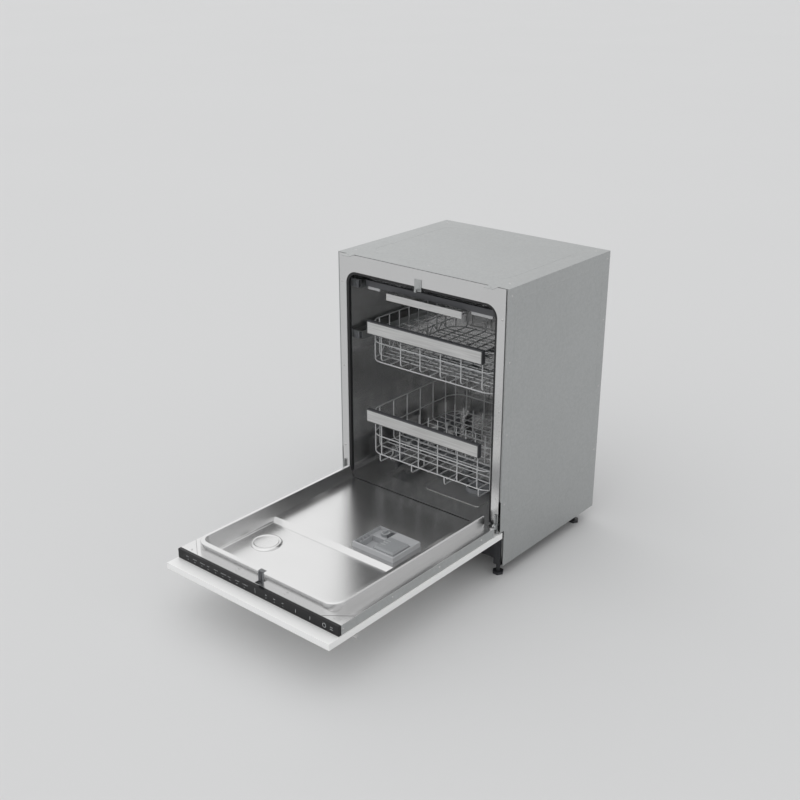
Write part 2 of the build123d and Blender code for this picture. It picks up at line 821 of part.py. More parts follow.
def make_lower_arm_post():
    """Feed from the sump up through the tub's floor, with a collar and the pin that carries the lower arm."""
    floor = tub_floor - basin_depth
    low = floor - post_drop
    post = rod(post_radius, (0, arm_y, low), (0, arm_y, lower_arm_z - gap))
    post += rod(post_radius + 2.5, (0, arm_y, floor), (0, arm_y, floor + collar_length))
    post += block((0, filter_x - sump_half - gap), (arm_y - 2 * post_radius, arm_y - post_radius / 2),
                  (low, floor - 4 * collar_length))
    pin = rod(arm_pin_radius, (0, arm_y, lower_arm_z - 2), (0, arm_y, lower_arm_z + arm_thickness + 2))
    return post + pin


def spray_arm(radius, z, width):
    """Two tapered blades with rounded tips on a raised hub that turns on a pin."""
    reach = radius - arm_tip
    points = [(0, -width / 2), (reach, -arm_tip), (reach, arm_tip), (0, width / 2),
              (-reach, arm_tip), (-reach, -arm_tip)]
    outline = make_face(Polyline(*points, close=True))
    for x in (-reach, reach):
        outline += Pos(x, 0) * Circle(arm_tip)
    arm = extrude(Pos(0, arm_y, z) * outline, arm_blade)
    arm += Pos(0, arm_y, z + arm_thickness / 2) * Cylinder(arm_hub_radius, arm_thickness)
    return arm - Pos(0, arm_y, z) * Cylinder(arm_pin_radius + running_gap, 4 * arm_thickness)


def make_lower_spray_arm():
    return spray_arm(lower_arm_radius, lower_arm_z, lower_arm_width)


def make_upper_spray_arm():
    return spray_arm(upper_arm_radius, upper_arm_z, upper_arm_width)


def make_ceiling_spray_arm():
    return spray_arm(top_arm_radius, top_arm_z, top_arm_width)


def make_feed_pipe():
    """Flat duct up the tub's back wall and along its ceiling to the top arm's pin."""
    rear = tub_rear - gap
    top = tub_ceiling - gap
    x = (-pipe_width / 2, pipe_width / 2)
    duct = block(x, (rear - pipe_depth, rear), (tub_floor + gap, top))
    duct += block(x, (arm_y - pipe_width / 2, rear), (top - pipe_depth, top))
    return duct + rod(arm_pin_radius, (0, arm_y, top - 1), (0, arm_y, top_arm_z - 2))


def make_upper_feed_tube():
    """Tube under the upper basket from its rear dock to the middle arm's pin."""
    top = upper_bottom - gap
    half = feed_tube_width / 2
    tube = block((-half, half), (arm_y - half, upper_rear), (top - feed_tube_height, top))
    return tube + rod(arm_pin_radius, (0, arm_y, top - 1), (0, arm_y, upper_arm_z - 2))


def make_float():
    """Flood float on the base tray's floor."""
    z = foot_height + base_wall + gap
    return block((-60, 10), (base_front + 30, base_front + 80), (z, z + 14))


# Baskets


def basket(half, front, rear, bottom, top, floor_bars, front_bars, side_bars):
    """Wire basket as a floor, four walls and four rounded corners that meet face to face."""
    depth = rear - front
    middle = (front + rear) / 2
    outline = Pos(0, middle) * RectangleRounded(2 * half, depth, corner)
    inside = Pos(0, middle) * RectangleRounded(2 * (half - wire), depth - 2 * wire, corner - wire)
    along = [(x - wire / 2, x + wire / 2, front, rear) for x in spread(-half, half, floor_bars[0] + 2)[1:-1]]
    across = [(-half, half, y - wire / 2, y + wire / 2) for y in spread(front, rear, floor_bars[1] + 2)[1:-1]]
    floor = (outline - inside) + (bars(along + across) & inside)
    solids = [extrude(Pos(0, 0, bottom) * floor, wire)]
    solids += wall_pair(half - corner, front, rear, bottom + wire, top, front_bars, False, 0)
    solids += wall_pair(depth / 2 - corner, -half, half, bottom + wire, top, side_bars, True, middle)
    solids += basket_corners(half, front, rear, bottom + wire, top)
    return solids


def wall_pair(half, low, high, bottom, top, count, sideways, middle):
    """Two facing walls of upright wires under a top wire, with one wire half way up."""
    mid = (bottom + top) / 2
    spans = [(-half, half, top - wire, top), (-half, half, mid - wire / 2, mid + wire / 2)]
    for x in spread(-half + wire / 2, half - wire / 2, count):
        spans.append((x - wire / 2, x + wire / 2, bottom, top))
    sketch = bars(spans)
    walls = []
    for start in (low, high - wire):
        if sideways:
            plane = Plane((start, middle, 0), x_dir=(0, 1, 0), z_dir=(1, 0, 0))
            walls.append(extrude(plane * sketch, wire))
        else:
            plane = Plane((0, start + wire, 0), x_dir=(1, 0, 0), z_dir=(0, -1, 0))
            walls.append(extrude(plane * sketch, wire))
    return walls


def basket_corners(half, front, rear, bottom, top):
    """Quarter-round top wire and one upright at each corner."""
    quarter = Circle(corner) - Circle(corner - wire)
    quarter &= Rectangle(corner, corner, align=(Align.MIN, Align.MIN))
    reach = (corner - wire / 2) * cos(radians(45))
    corners = []
    for turn, x, y in ((0, half - corner, rear - corner), (90, -half + corner, rear - corner),
                       (180, -half + corner, front + corner), (270, half - corner, front + corner)):
        arc = extrude(Pos(x, y, top - wire) * Rot(0, 0, turn) * quarter, wire)
        post_x, post_y = corner_point(reach, turn)
        arc += Pos(x + post_x, y + post_y, (bottom + top) / 2) * Rot(0, 0, turn + 45) * Box(
            wire, wire, top - bottom)
        corners.append(arc)
    return corners


def corner_point(reach, turn):
    """The 45 degree point of a corner turned about the basket's vertical."""
    c, s = cos(radians(turn)), sin(radians(turn))
    return reach * (c - s), reach * (s + c)


def make_lower_basket():
    solids = basket(lower_half_width, lower_front, lower_rear, lower_bottom, lower_top, (5, 4), 6, 6)
    return Compound(children=solids + [runner(x) for x in runner_xs])


def runner(x):
    """Bent wire under the basket's front that rides over the door's edge."""
    y0, y1 = lower_front, lower_front + runner_length
    low = lower_bottom - runner_drop
    loop = block((x - wire / 2, x + wire / 2), (y0, y1), (low, lower_bottom))
    return loop - block((x - wire, x + wire), (y0 + wire, y1 - wire), (low + wire, lower_bottom + 1))


def make_upper_basket():
    return Compound(children=basket(upper_half_width, upper_front, upper_rear, upper_bottom, upper_top,
                                    (5, 4), 6, 6))


def grip(front, z):
    """Moulded grip in front of a basket, hollow behind for the fingers, hung on two lugs."""
    y0 = front - grip_reach
    half, up = grip_half_length, grip_height / 2
    body = block((-half, half), (y0, y0 + grip_thickness), (z - up, z + up))
    body -= block((-half + 2 * grip_wall, half - 2 * grip_wall), (y0 + grip_wall, y0 + grip_thickness + 1),
                  (z - up + grip_wall, z + up - grip_wall))
    for x in both(grip_lug_x, grip_lug_x + grip_lug_width):
        body += block(x, (y0 + grip_wall - 1, front - gap), (z - 8, z + 4))
    return body


def grip_strip(front, z):
    """Steel strip on the grip's face."""
    back = front - grip_reach - gap / 3
    up = grip_height / 2 - strip_margin
    return block((-strip_half_length, strip_half_length), (back - strip_sheet, back), (z - up, z + up))


def make_lower_handle():
    return grip(lower_front, lower_grip_z)


def make_lower_handle_strip():
    return grip_strip(lower_front, lower_grip_z)


def make_upper_handle():
    return grip(upper_front, upper_grip_z)


def make_upper_handle_strip():
    return grip_strip(upper_front, upper_grip_z)


def make_wheel_carriers():
    """Bracket for two wheels under each quarter of the lower basket, with its axle stubs."""
    carriers = []
    edge = carrier_edge
    x = (wheel_inner_x - gap - carrier_thickness, wheel_inner_x - gap)
    top = lower_bottom - gap
    for front, rear in wheel_rows:
        plate = block(x, (front - edge, rear + edge), (axle_z - edge, top))
        plate -= block((x[0] - 1, x[1] + 1), (front + 2 * edge, rear - 2 * edge), (0, axle_z + edge))
        plate += block((x[0], x[1] + wheel_width + edge), (front + 2 * edge, rear - 2 * edge),
                       (top - edge / 2, top))
        for y in (front, rear):
            plate += rod(axle_radius, (x[0] + 1, y, axle_z), (wheel_inner_x + wheel_width + gap, y, axle_z))
        carriers += [plate, mirror(plate, Plane.YZ)]
    return Compound(children=carriers)


def make_wheel(x, y):
    """Wheel with a bore that runs on the carrier's stub."""
    seat = Pos(x, y, axle_z) * Rot(0, 90, 0)
    disc = seat * Cylinder(wheel_radius, wheel_width)
    return disc - seat * Cylinder(axle_radius + running_gap, 2 * wheel_width)


def make_tine_row(y):
    """Folding comb of plate tines whose round ends turn on the basket's floor."""
    z = lower_bottom + wire + gap + tine_rod
    half = tine_pitch * (tine_count - 1) / 2
    side = tine_width / 2
    spans = [(-half - side, half + side, z - side, z + side)]
    spans += [(x - side, x + side, z, z + tine_height) for x in spread(-half, half, tine_count)]
    row = extrude(Plane((0, y + side, 0), x_dir=(1, 0, 0), z_dir=(0, -1, 0)) * bars(spans), tine_width)
    for x0, x1 in both(half, half + 4 * tine_rod):
        row += rod(tine_rod, (x0, y, z), (x1, y, z))
    return row


def make_cup_shelf(side):
    """Shelf of wires whose round ends turn beside the upper basket's side wall."""
    edge = upper_half_width - wire - gap - shelf_rod
    thick = 2 * shelf_rod
    places = spread(shelf_start, shelf_end, shelf_bars)
    spans = [(0, shelf_reach, y - shelf_rod, y + shelf_rod) for y in places]
    spans += [(x - shelf_rod, x + shelf_rod, shelf_start - shelf_rod, shelf_end + shelf_rod)
              for x in (shelf_reach / 2, shelf_reach - shelf_rod)]
    shelf = extrude(Pos(-edge, 0, shelf_z) * bars(spans), thick)
    shelf += block((-edge - 1, -edge + 1), (shelf_start, shelf_end),
                   (shelf_z + shelf_rod - 1, shelf_z + shelf_rod + 1))
    for y0, y1 in ((shelf_start - 2 * thick, shelf_start), (shelf_end, shelf_end + 2 * thick)):
        shelf += rod(shelf_rod, (-edge, y0, shelf_z + shelf_rod), (-edge, y1, shelf_z + shelf_rod))
    return shelf if side == "left" else mirror(shelf, Plane.YZ)


# Rails


def rail_levels(half):
    """The inner, middle and outer members' spans along x, out from a basket of this half width."""
    inner = (half + gap, half + gap + rail_member)
    middle = (inner[1] + gap, inner[1] + gap + rail_member)
    outer = (middle[1] + gap, tub_half_width - gap)
    return inner, middle, outer


def rail_pair(span, z, start, length):
    """Channel section open outwards, on the left and on the right."""
    up = rail_height / 2
    bar = block(span, (start, start + length), (z - up, z + up))
    bar -= block((span[0] + rail_wall, span[1] + 1), (start - 1, start + length + 1),
                 (z - up + rail_wall, z + up - rail_wall))
    return [bar, mirror(bar, Plane.YZ)]


def make_tub_rails():
    """Fixed members of both rails, on the tub's walls."""
    upper = rail_pair(rail_levels(upper_half_width)[2], upper_rail_z, rail_start, rail_length)
    tray = rail_pair(rail_levels(tray_half_width)[2], tray_rail_z, rail_start, rail_length)
    return Compound(children=upper + tray)


def make_upper_rail_middles():
    level = rail_levels(upper_half_width)[1]
    return Compound(children=rail_pair(level, upper_rail_z, rail_start, rail_length))


def make_upper_rail_inners():
    return Compound(children=rail_pair(rail_levels(upper_half_width)[0], upper_rail_z,
                                       upper_front + corner, upper_rear - upper_front - 2 * corner))


def make_tray_rail_middles():
    return Compound(children=rail_pair(rail_levels(tray_half_width)[1], tray_rail_z, rail_start, rail_length))


# Cutlery tray


def make_tray_frame():
    """Tray's outer frame, rounded in front, with a divider and the rails' inner members on its sides."""
    z = (tray_bottom, tray_bottom + tray_height)
    frame = block((-tray_half_width, tray_half_width), (tray_front, tray_rear), z)
    frame = fillet(frame.edges().filter_by(Axis.Z).group_by(Axis.Y)[0], tray_corner)
    frame -= block((-tray_half_width + tray_wall, tray_half_width - tray_wall),
                   (tray_front + 2 * tray_wall, tray_rear - tray_wall), (0, machine_height))
    frame += block((tray_divider_x - 2, tray_divider_x + 2), (tray_front + 1, tray_rear - 1), z)
    up = rail_height / 2 - rail_wall
    for x in both(tray_half_width - 1, rail_levels(tray_half_width)[0][1]):
        frame += block(x, (tray_front + 20, tray_rear - 20), (tray_rail_z - up, tray_rail_z + up))
    return frame


def tray_insert(x0, x1, combs):
    """Slotted cutlery insert: a rim, a thin floor of slats and upright combs."""
    z0 = tray_bottom + 3
    y0, y1 = tray_front + 2 * tray_wall + gap, tray_rear - tray_wall - gap
    spans = [(x0, x0 + 4, y0, y1), (x1 - 4, x1, y0, y1), (x0, x1, y0, y0 + 4), (x0, x1, y1 - 4, y1)]
    spans += [(x0, x1, y - 3, y + 3) for y in spread(y0, y1, tray_slots + 2)[1:-1]]
    insert = extrude(Pos(0, 0, z0) * bars(spans), 4)
    for x in spread(x0 + 2, x1 - 2, combs):
        insert += block((x - 1.5, x + 1.5), (y0, y1), (z0, z0 + tray_height - 2))
    return insert


def make_tray_inserts():
    """Cutlery inserts on the left and on the right of the divider."""
    edge = tray_half_width - tray_wall - gap
    left = tray_insert(-edge, tray_divider_x - 2 - gap, 5)
    right = tray_insert(tray_divider_x + 2 + gap, edge, 6)
    return Compound(children=[left, right])


def make_tray_handle():
    """Steel strip on two short arms under the tray's front."""
    top = tray_bottom - gap
    y0 = tray_front - tray_grip_reach
    half = tray_grip_half_length
    strip = block((-half, half), (y0, y0 + strip_sheet), (top - tray_grip_height, top))
    for x in both(half - tray_grip_arm, half):
        strip += block(x, (y0, tray_front + 8), (top - strip_sheet, top))
    return strip


def export(name, shape):
    """One STEP file, with the origin moved under the middle of the whole part."""
    solids = [Pos(0, -origin_y, 0) * solid for solid in shape.solids()]
    export_step(solids[0] if len(solids) == 1 else Compound(children=solids), f"parts/{name}.step")


def all_nodes():
    """Every node's name with the function that draws it."""
    plain = (
        make_tub, make_tub_floor, make_tub_gasket, make_insulation_jacket, make_side_panels, make_top_plate,
        make_base_frame, make_levelling_feet, make_tub_rails, make_sump, make_pumps, make_inlet_valve,
        make_filter_plate, make_lower_arm_post, make_feed_pipe, make_hinge_brackets, make_door_springs,
        make_latch_strike, make_door_liner, make_door_frame, make_control_strip, make_front_panel,
        make_panel_handle, make_hinge_arms, make_dispenser_body, make_latch_housing,
        make_dispenser_lid, make_rinse_aid_cap, make_latch_bolt, make_lower_basket, make_lower_handle,
        make_lower_handle_strip, make_wheel_carriers, make_upper_basket, make_upper_handle,
        make_upper_handle_strip, make_upper_rail_inners, make_upper_feed_tube, make_upper_rail_middles,
        make_upper_spray_arm, make_tray_frame, make_tray_inserts,
        make_tray_handle, make_tray_rail_middles, make_lower_spray_arm, make_ceiling_spray_arm,
        make_filter_cylinder, make_float,
    )
    nodes = {maker.__name__.removeprefix("make_"): maker for maker in plain}
    middle = wheel_inner_x + wheel_width / 2
    number = 0
    for pair in wheel_rows:
        for y in pair:
            number += 1
            for side, x in (("left", -middle), ("right", middle)):
                nodes[f"wheel_{side}_{number}"] = lambda x=x, y=y: make_wheel(x, y)
    for place, y in tine_rows.items():
        nodes[f"lower_tines_{place}"] = lambda y=y: make_tine_row(y)
    for side in ("left", "right"):
        nodes[f"cup_shelf_{side}"] = lambda side=side: make_cup_shelf(side)
    return nodes


def main():
    os.makedirs("parts", exist_ok=True)
    for name, maker in all_nodes().items():
        export(name, maker())


main()
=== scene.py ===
import math

import bpy
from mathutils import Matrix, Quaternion, Vector


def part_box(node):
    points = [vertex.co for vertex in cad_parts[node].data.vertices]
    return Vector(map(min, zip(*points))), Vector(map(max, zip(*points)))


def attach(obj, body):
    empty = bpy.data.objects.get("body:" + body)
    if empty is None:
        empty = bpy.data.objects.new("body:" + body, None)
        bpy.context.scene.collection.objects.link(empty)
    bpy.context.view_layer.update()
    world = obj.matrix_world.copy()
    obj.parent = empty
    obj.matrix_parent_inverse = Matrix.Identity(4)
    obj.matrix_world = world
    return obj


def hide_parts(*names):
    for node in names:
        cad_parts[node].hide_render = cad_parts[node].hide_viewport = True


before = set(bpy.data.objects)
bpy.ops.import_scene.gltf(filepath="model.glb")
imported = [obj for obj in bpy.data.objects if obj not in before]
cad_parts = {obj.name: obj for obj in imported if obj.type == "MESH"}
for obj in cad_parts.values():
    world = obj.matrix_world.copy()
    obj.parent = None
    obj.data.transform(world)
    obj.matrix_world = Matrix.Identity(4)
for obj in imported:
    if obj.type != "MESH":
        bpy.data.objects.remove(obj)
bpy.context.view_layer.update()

MM = 0.001
X, Y, Z = 0, 1, 2

# Colours of the real materials, as sRGB
STEEL = "#D7D7D7"
BRUSHED = "#CBCBCA"
ZINC = "#B2B4B4"
WIRE_COAT = "#C4C5C6"
DARK = "#4B4C4F"
CHARCOAL = "#323336"
MID_GREY = "#7E8083"
LID_GREY = "#939597"
CASE_GREY = "#B0B1B3"
LATCH_GREY = "#66686A"
ROLLER_GREY = "#66686A"
LIGHT_GREY = "#B5B6B7"
GLOSS_BLACK = "#0E0F11"
LACQUER = "#F3F3F2"
FELT = "#5A5A5C"
RUBBER = "#18181A"
MARK = "#C6C8CA"
# Not a material's colour: painted shade for holes, nozzle slots and seams, which reads as depth
RECESS_SHADE = "#08080A"
BACKDROP = "#DADADA"
ROOM = "#DADADA"

# Radii of the wires, how far crossing wires lie apart, and how their corners are bent
BASKET_WIRE = 2.0 * MM
TINE_WIRE = 1.9 * MM
FINE_WIRE = 1.5 * MM
NET_WIRE = 0.8 * MM
WIRE_CROSSING = 3.4 * MM
BEND = 11 * MM
BASKET_CORNER = 50 * MM
CORNER_STEPS = 5

# Lower basket's floor above the runners under its front
FLOOR_RISE = 27 * MM

# Radii of the screws' heads
DOOR_SCREW = 3 * MM
FLANGE_SCREW = 3.2 * MM
SHEET_SCREW = 3.4 * MM

# Dark lip round a grip's steel strip
GRIP_LIP = 3.2 * MM

# Liner's ledge above its lowest point, and the foot of the round field on its deeper floor
LEDGE_RISE = 21 * MM
FIELD_FOOT = (-160 * MM, -371.5 * MM, 158 * MM)

# Latch's tower, and half the width and the length of the mouth in front of it
TOWER_DEPTH = 12 * MM
TOWER_HEIGHT = 28 * MM
MOUTH_HALF = 6.1 * MM
MOUTH_LENGTH = 11 * MM

# Cutlery tray: where the net starts, the divider, and the gap beside them
NET_START = -96 * MM
DIVIDER = -8 * MM
INSERT_GAP = 2.4 * MM

# Heights of the two ties across the back
TIES = (0.24, 0.83)

# Relief of a material's grain, and roughness of a clear coat
GRAIN_DEPTH = 0.1 * MM
COAT_ROUGHNESS = 0.08

# Patterns: zinc crystals, pitch of the strainer's holes, lines of brushing, tufts of felt
CRYSTAL = 6 * MM
HOLE_PITCH = 2.2 * MM
BRUSH_LINE = 3 * MM
TUFT = 1.5 * MM

# Camera: where it stands, how it is turned, and its lens in mm for a 36 mm sensor
CAMERA_PLACE = (1.8866, -2.2403, 1.7043)
CAMERA_YAW = 39.97
CAMERA_PITCH = 22.21
CAMERA_LENS = 51.1

# Stage: floor's side in metres, sky's colour and level, and each sun's name, direction, level and width
FLOOR_SIDE = 200
SKY = "#F6F7F8"
SKY_LEVEL = 0.6
SUNS = (("key", (-2.0, -1.2, 3.0), 1.2, 140), ("fill", (2.6, -1.6, 1.6), 0.4, 140))


# Materials


def linear(colour):
    """sRGB hex to linear RGBA."""
    values = [int(colour[start:start + 2], 16) / 255 for start in (1, 3, 5)]
    return (*(v / 12.92 if v <= 0.04045 else ((v + 0.055) / 1.055) ** 2.4 for v in values), 1.0)


def shaded(colour, factor):
    """A colour made darker or lighter, in linear light."""
    return (*(min(1.0, v * factor) for v in linear(colour)[:3]), 1.0)


def add(tree, kind, inputs=None, **settings):
    """New node with its settings, linked to sockets or given values."""
    node = tree.nodes.new(kind)
    for name, value in settings.items():
        setattr(node, name, value)
    for name, value in (inputs or {}).items():
        if isinstance(value, bpy.types.NodeSocket):
            tree.links.new(value, node.inputs[name])
        else:
            node.inputs[name].default_value = value
    return node


def material(name, colour, metallic=0.0, rough=0.5, vary=0.06, tone=0.05, patch=60 * MM, grain=0.6 * MM,
             stretch=(1, 1, 1), bump=0.05, coat=0.0, shine=0.5, pattern=None):
    """Surface with a slow change of tone, a fine grain in roughness and relief, and perhaps a pattern."""
    paint = bpy.data.materials.new(name)
    paint.use_nodes = True
    tree = paint.node_tree
    tree.nodes.clear()
    place = add(tree, "ShaderNodeTexCoord").outputs["Object"]
    slow = add(tree, "ShaderNodeTexNoise", {"Vector": place, "Scale": 1 / patch, "Detail": 2.0})
    drawn = add(tree, "ShaderNodeMapping", {"Vector": place, "Scale": stretch})
    fine = add(tree, "ShaderNodeTexNoise", {"Vector": drawn.outputs[0], "Scale": 1 / grain, "Detail": 4.0})
    shade = add(tree, "ShaderNodeMix", {0: slow.outputs[0], 6: shaded(colour, 1 - tone),
                                        7: shaded(colour, 1 + tone)}, data_type="RGBA")
    satin = add(tree, "ShaderNodeMapRange", {"Value": fine.outputs[0], "To Min": max(rough - vary, 0.02),
                                             "To Max": min(rough + vary, 1.0)})
    relief = add(tree, "ShaderNodeBump", {"Height": fine.outputs[0], "Strength": bump,
                                          "Distance": GRAIN_DEPTH})
    tint, height = shade.outputs[2], relief.outputs[0]
    if pattern:
        tint, height = pattern(tree, place, tint, height)
    surface = add(tree, "ShaderNodeBsdfPrincipled", {
        "Base Color": tint, "Metallic": metallic, "Roughness": satin.outputs[0], "Normal": height,
        "Coat Weight": coat, "Coat Roughness": COAT_ROUGHNESS, "Specular IOR Level": shine})
    add(tree, "ShaderNodeOutputMaterial", {"Surface": surface.outputs[0]})
    return paint


def spangle(tree, place, tint, height):
    """Crystals of hot-dip zinc, at their real size."""
    cells = add(tree, "ShaderNodeTexVoronoi", {"Vector": place, "Scale": 1 / CRYSTAL})
    grey = add(tree, "ShaderNodeSeparateColor", {"Color": cells.outputs["Color"]})
    lift = add(tree, "ShaderNodeMapRange", {"Value": grey.outputs[0], "To Min": 0.96, "To Max": 1.035})
    mixed = add(tree, "ShaderNodeVectorMath", {0: tint, "Scale": lift.outputs[0]}, operation="SCALE")
    return mixed.outputs[0], height


def perforation(tree, place, tint, height):
    """Fine rows of round holes in painted shade, drawn about twice as coarse as a strainer's so that they
    show.
    """
    spots = add(tree, "ShaderNodeTexVoronoi", {"Vector": place, "Scale": 1 / HOLE_PITCH, "Randomness": 0.0})
    hole = add(tree, "ShaderNodeMapRange", {"Value": spots.outputs["Distance"], "From Min": 0.28,
                                            "From Max": 0.34})
    # Each hole gets the painted shade colour, for the dark seen through it
    mixed = add(tree, "ShaderNodeMix", {0: hole.outputs[0], 6: linear(RECESS_SHADE), 7: tint}, data_type="RGBA")
    return mixed.outputs[2], height


def brushing(tree, place, tint, height):
    """Lines of brushing along a strip, drawn about ten times as coarse as the belt's grit leaves them."""
    drawn = add(tree, "ShaderNodeMapping", {"Vector": place, "Scale": (0.03, 1, 1)})
    lines = add(tree, "ShaderNodeTexNoise", {"Vector": drawn.outputs[0], "Scale": 1 / BRUSH_LINE,
                                             "Detail": 3.0})
    lift = add(tree, "ShaderNodeMapRange", {"Value": lines.outputs[0], "From Min": 0.3, "From Max": 0.7,
                                            "To Min": 0.87, "To Max": 1.1})
    mixed = add(tree, "ShaderNodeVectorMath", {0: tint, "Scale": lift.outputs[0]}, operation="SCALE")
    return mixed.outputs[0], height


def fibres(tree, place, tint, height):
    """Tufts of matted felt, because its single fibres are too fine to show; they make the relief too."""
    strands = add(tree, "ShaderNodeTexNoise", {"Vector": place, "Scale": 1 / TUFT, "Detail": 8.0,
                                               "Distortion": 2.0})
    lift = add(tree, "ShaderNodeMapRange", {"Value": strands.outputs[0], "To Min": 0.6, "To Max": 1.4})
    mixed = add(tree, "ShaderNodeVectorMath", {0: tint, "Scale": lift.outputs[0]}, operation="SCALE")
    rough = add(tree, "ShaderNodeBump", {"Height": strands.outputs[0], "Strength": 0.7, "Distance": 1 * MM})
    return mixed.outputs[0], rough.outputs[0]


# Stretch of the grain along the way that a sheet or strip was brushed or drawn
ALONG_X = (0.02, 1, 1)
ALONG_Y = (1, 0.02, 1)

# Cold-rolled stainless with a satin finish: soft, slightly drawn-out reflections
tub_steel = material("stainless_sheet_satin", STEEL, 1.0, 0.25, vary=0.025, tone=0.03, patch=140 * MM,
                     grain=0.5 * MM, stretch=ALONG_X, bump=0.02)
# The same sheet with the strainer's punched holes, in painted shade so that they read dark against the steel
mesh_steel = material("stainless_strainer_punched", STEEL, 1.0, 0.3, bump=0.02, pattern=perforation)
# Brushed strip of the grips: fine lines along its length that spread the light
brushed = material("stainless_strip_brushed", BRUSHED, 1.0, 0.34, vary=0.07, tone=0.04, patch=90 * MM,
                   grain=0.5 * MM, stretch=ALONG_X, bump=0.08, pattern=brushing)
# Drawn and brushed bar of the panel handle: a highlight that runs out along the bar
bar_steel = material("stainless_bar_brushed", BRUSHED, 1.0, 0.3, grain=0.5 * MM, stretch=ALONG_X, bump=0.06)
# Roll-formed rail with bright zinc: drawn lines along its travel
rail_steel = material("steel_rail_bright_zinc", ZINC, 1.0, 0.3, grain=0.7 * MM, stretch=ALONG_Y, bump=0.05)
# Hot-dip galvanised sheet: faint crystals under a dull grey sheen
zinc_sheet = material("steel_sheet_galvanised", ZINC, 0.9, 0.42, vary=0.05, tone=0.03, patch=180 * MM,
                      bump=0.02, pattern=spangle)
# Plated screws and balls: small bright highlights
screw_steel = material("steel_screw_plated", BRUSHED, 1.0, 0.25, patch=4 * MM)
# Oiled spring wire: a narrow shine on each turn of the coil
spring_steel = material("steel_spring_wire_oiled", ZINC, 0.95, 0.32, patch=10 * MM)
# Nylon powder coat on wire: a thick soft gloss with a slightly uneven skin
wire_coat = material("nylon_coat_on_steel_wire", WIRE_COAT, 0.0, 0.32, tone=0.08, patch=30 * MM,
                     grain=1.2 * MM, bump=0.08, coat=0.3)
# Moulded polypropylene: a fine spark-eroded texture that dulls the gloss
dark_plastic = material("polypropylene_moulded_dark", DARK, 0.0, 0.45, grain=0.35 * MM, bump=0.12)
grey_plastic = material("polypropylene_moulded_grey", MID_GREY, 0.0, 0.42, grain=0.35 * MM, bump=0.1)
case_plastic = material("polypropylene_moulded_case", CASE_GREY, 0.0, 0.42, grain=0.35 * MM, bump=0.1)
lid_plastic = material("polypropylene_moulded_lid", LID_GREY, 0.0, 0.38, grain=0.35 * MM, bump=0.08)
# Talc-filled polypropylene of the base: coarser and duller, with flow marks
base_plastic = material("polypropylene_base_filled", CHARCOAL, 0.0, 0.55, tone=0.1, patch=90 * MM,
                        grain=0.7 * MM, bump=0.2)
# Moulded acetal: dense, smooth and faintly waxy, for what slides or clips
latch_plastic = material("acetal_moulded_latch", LATCH_GREY, 0.0, 0.4, grain=0.35 * MM, bump=0.06)
wheel_plastic = material("acetal_moulded_charcoal", CHARCOAL, 0.0, 0.36, grain=0.4 * MM, bump=0.06)
roller_plastic = material("acetal_moulded_roller", ROLLER_GREY, 0.0, 0.34, grain=0.4 * MM, bump=0.06)
light_plastic = material("acetal_moulded_light", LIGHT_GREY, 0.0, 0.38, grain=0.35 * MM, bump=0.06)
# Polished acrylic strip: near black, with a crisp edge highlight
gloss_strip = material("acrylic_strip_gloss_black", GLOSS_BLACK, 0.0, 0.2, vary=0.02, bump=0.0, shine=0.3)
# Screen-printed ink: flat pale marks on the glossy strip
mark_ink = material("screen_printed_ink", MARK, 0.0, 0.5)
# Lacquered board of the kitchen's front: white, with the slightest orange peel
lacquer = material("board_lacquered_white", LACQUER, 0.0, 0.34, tone=0.012, patch=200 * MM, grain=1.4 * MM,
                   bump=0.02, coat=0.1)
# Pressed felt that deadens the tub: mottled dark grey without a highlight
felt = material("felt_pressed", FELT, 0.0, 0.95, pattern=fibres)
# Moulded rubber seal: a matt black line round the opening
rubber = material("rubber_seal_matt", RUBBER, 0.0, 0.6, grain=0.4 * MM, bump=0.2)
# Painted shade of a nozzle's mouth or a seam, which reads as depth
recess_shade = material("shadow_in_a_recess", RECESS_SHADE, 0.0, 0.9)


# Building pieces


def turned(axis, along, u, v):
    """Point with a value along an axis and two across it, in the order that follows the axis."""
    point = [0.0, 0.0, 0.0]
    point[axis], point[(axis + 1) % 3], point[(axis + 2) % 3] = along, u, v
    return Vector(point)


def on_side(side, a, b):
    """Span between two values along X, on the left (-1) or the right (1)."""
    return sorted((side * a, side * b))


def turning(*pairs, way=1):
    """Profile for the lathe from pairs of radius and height in mm, which may point the other way."""
    return [(radius * MM, height * MM * way) for radius, height in pairs]


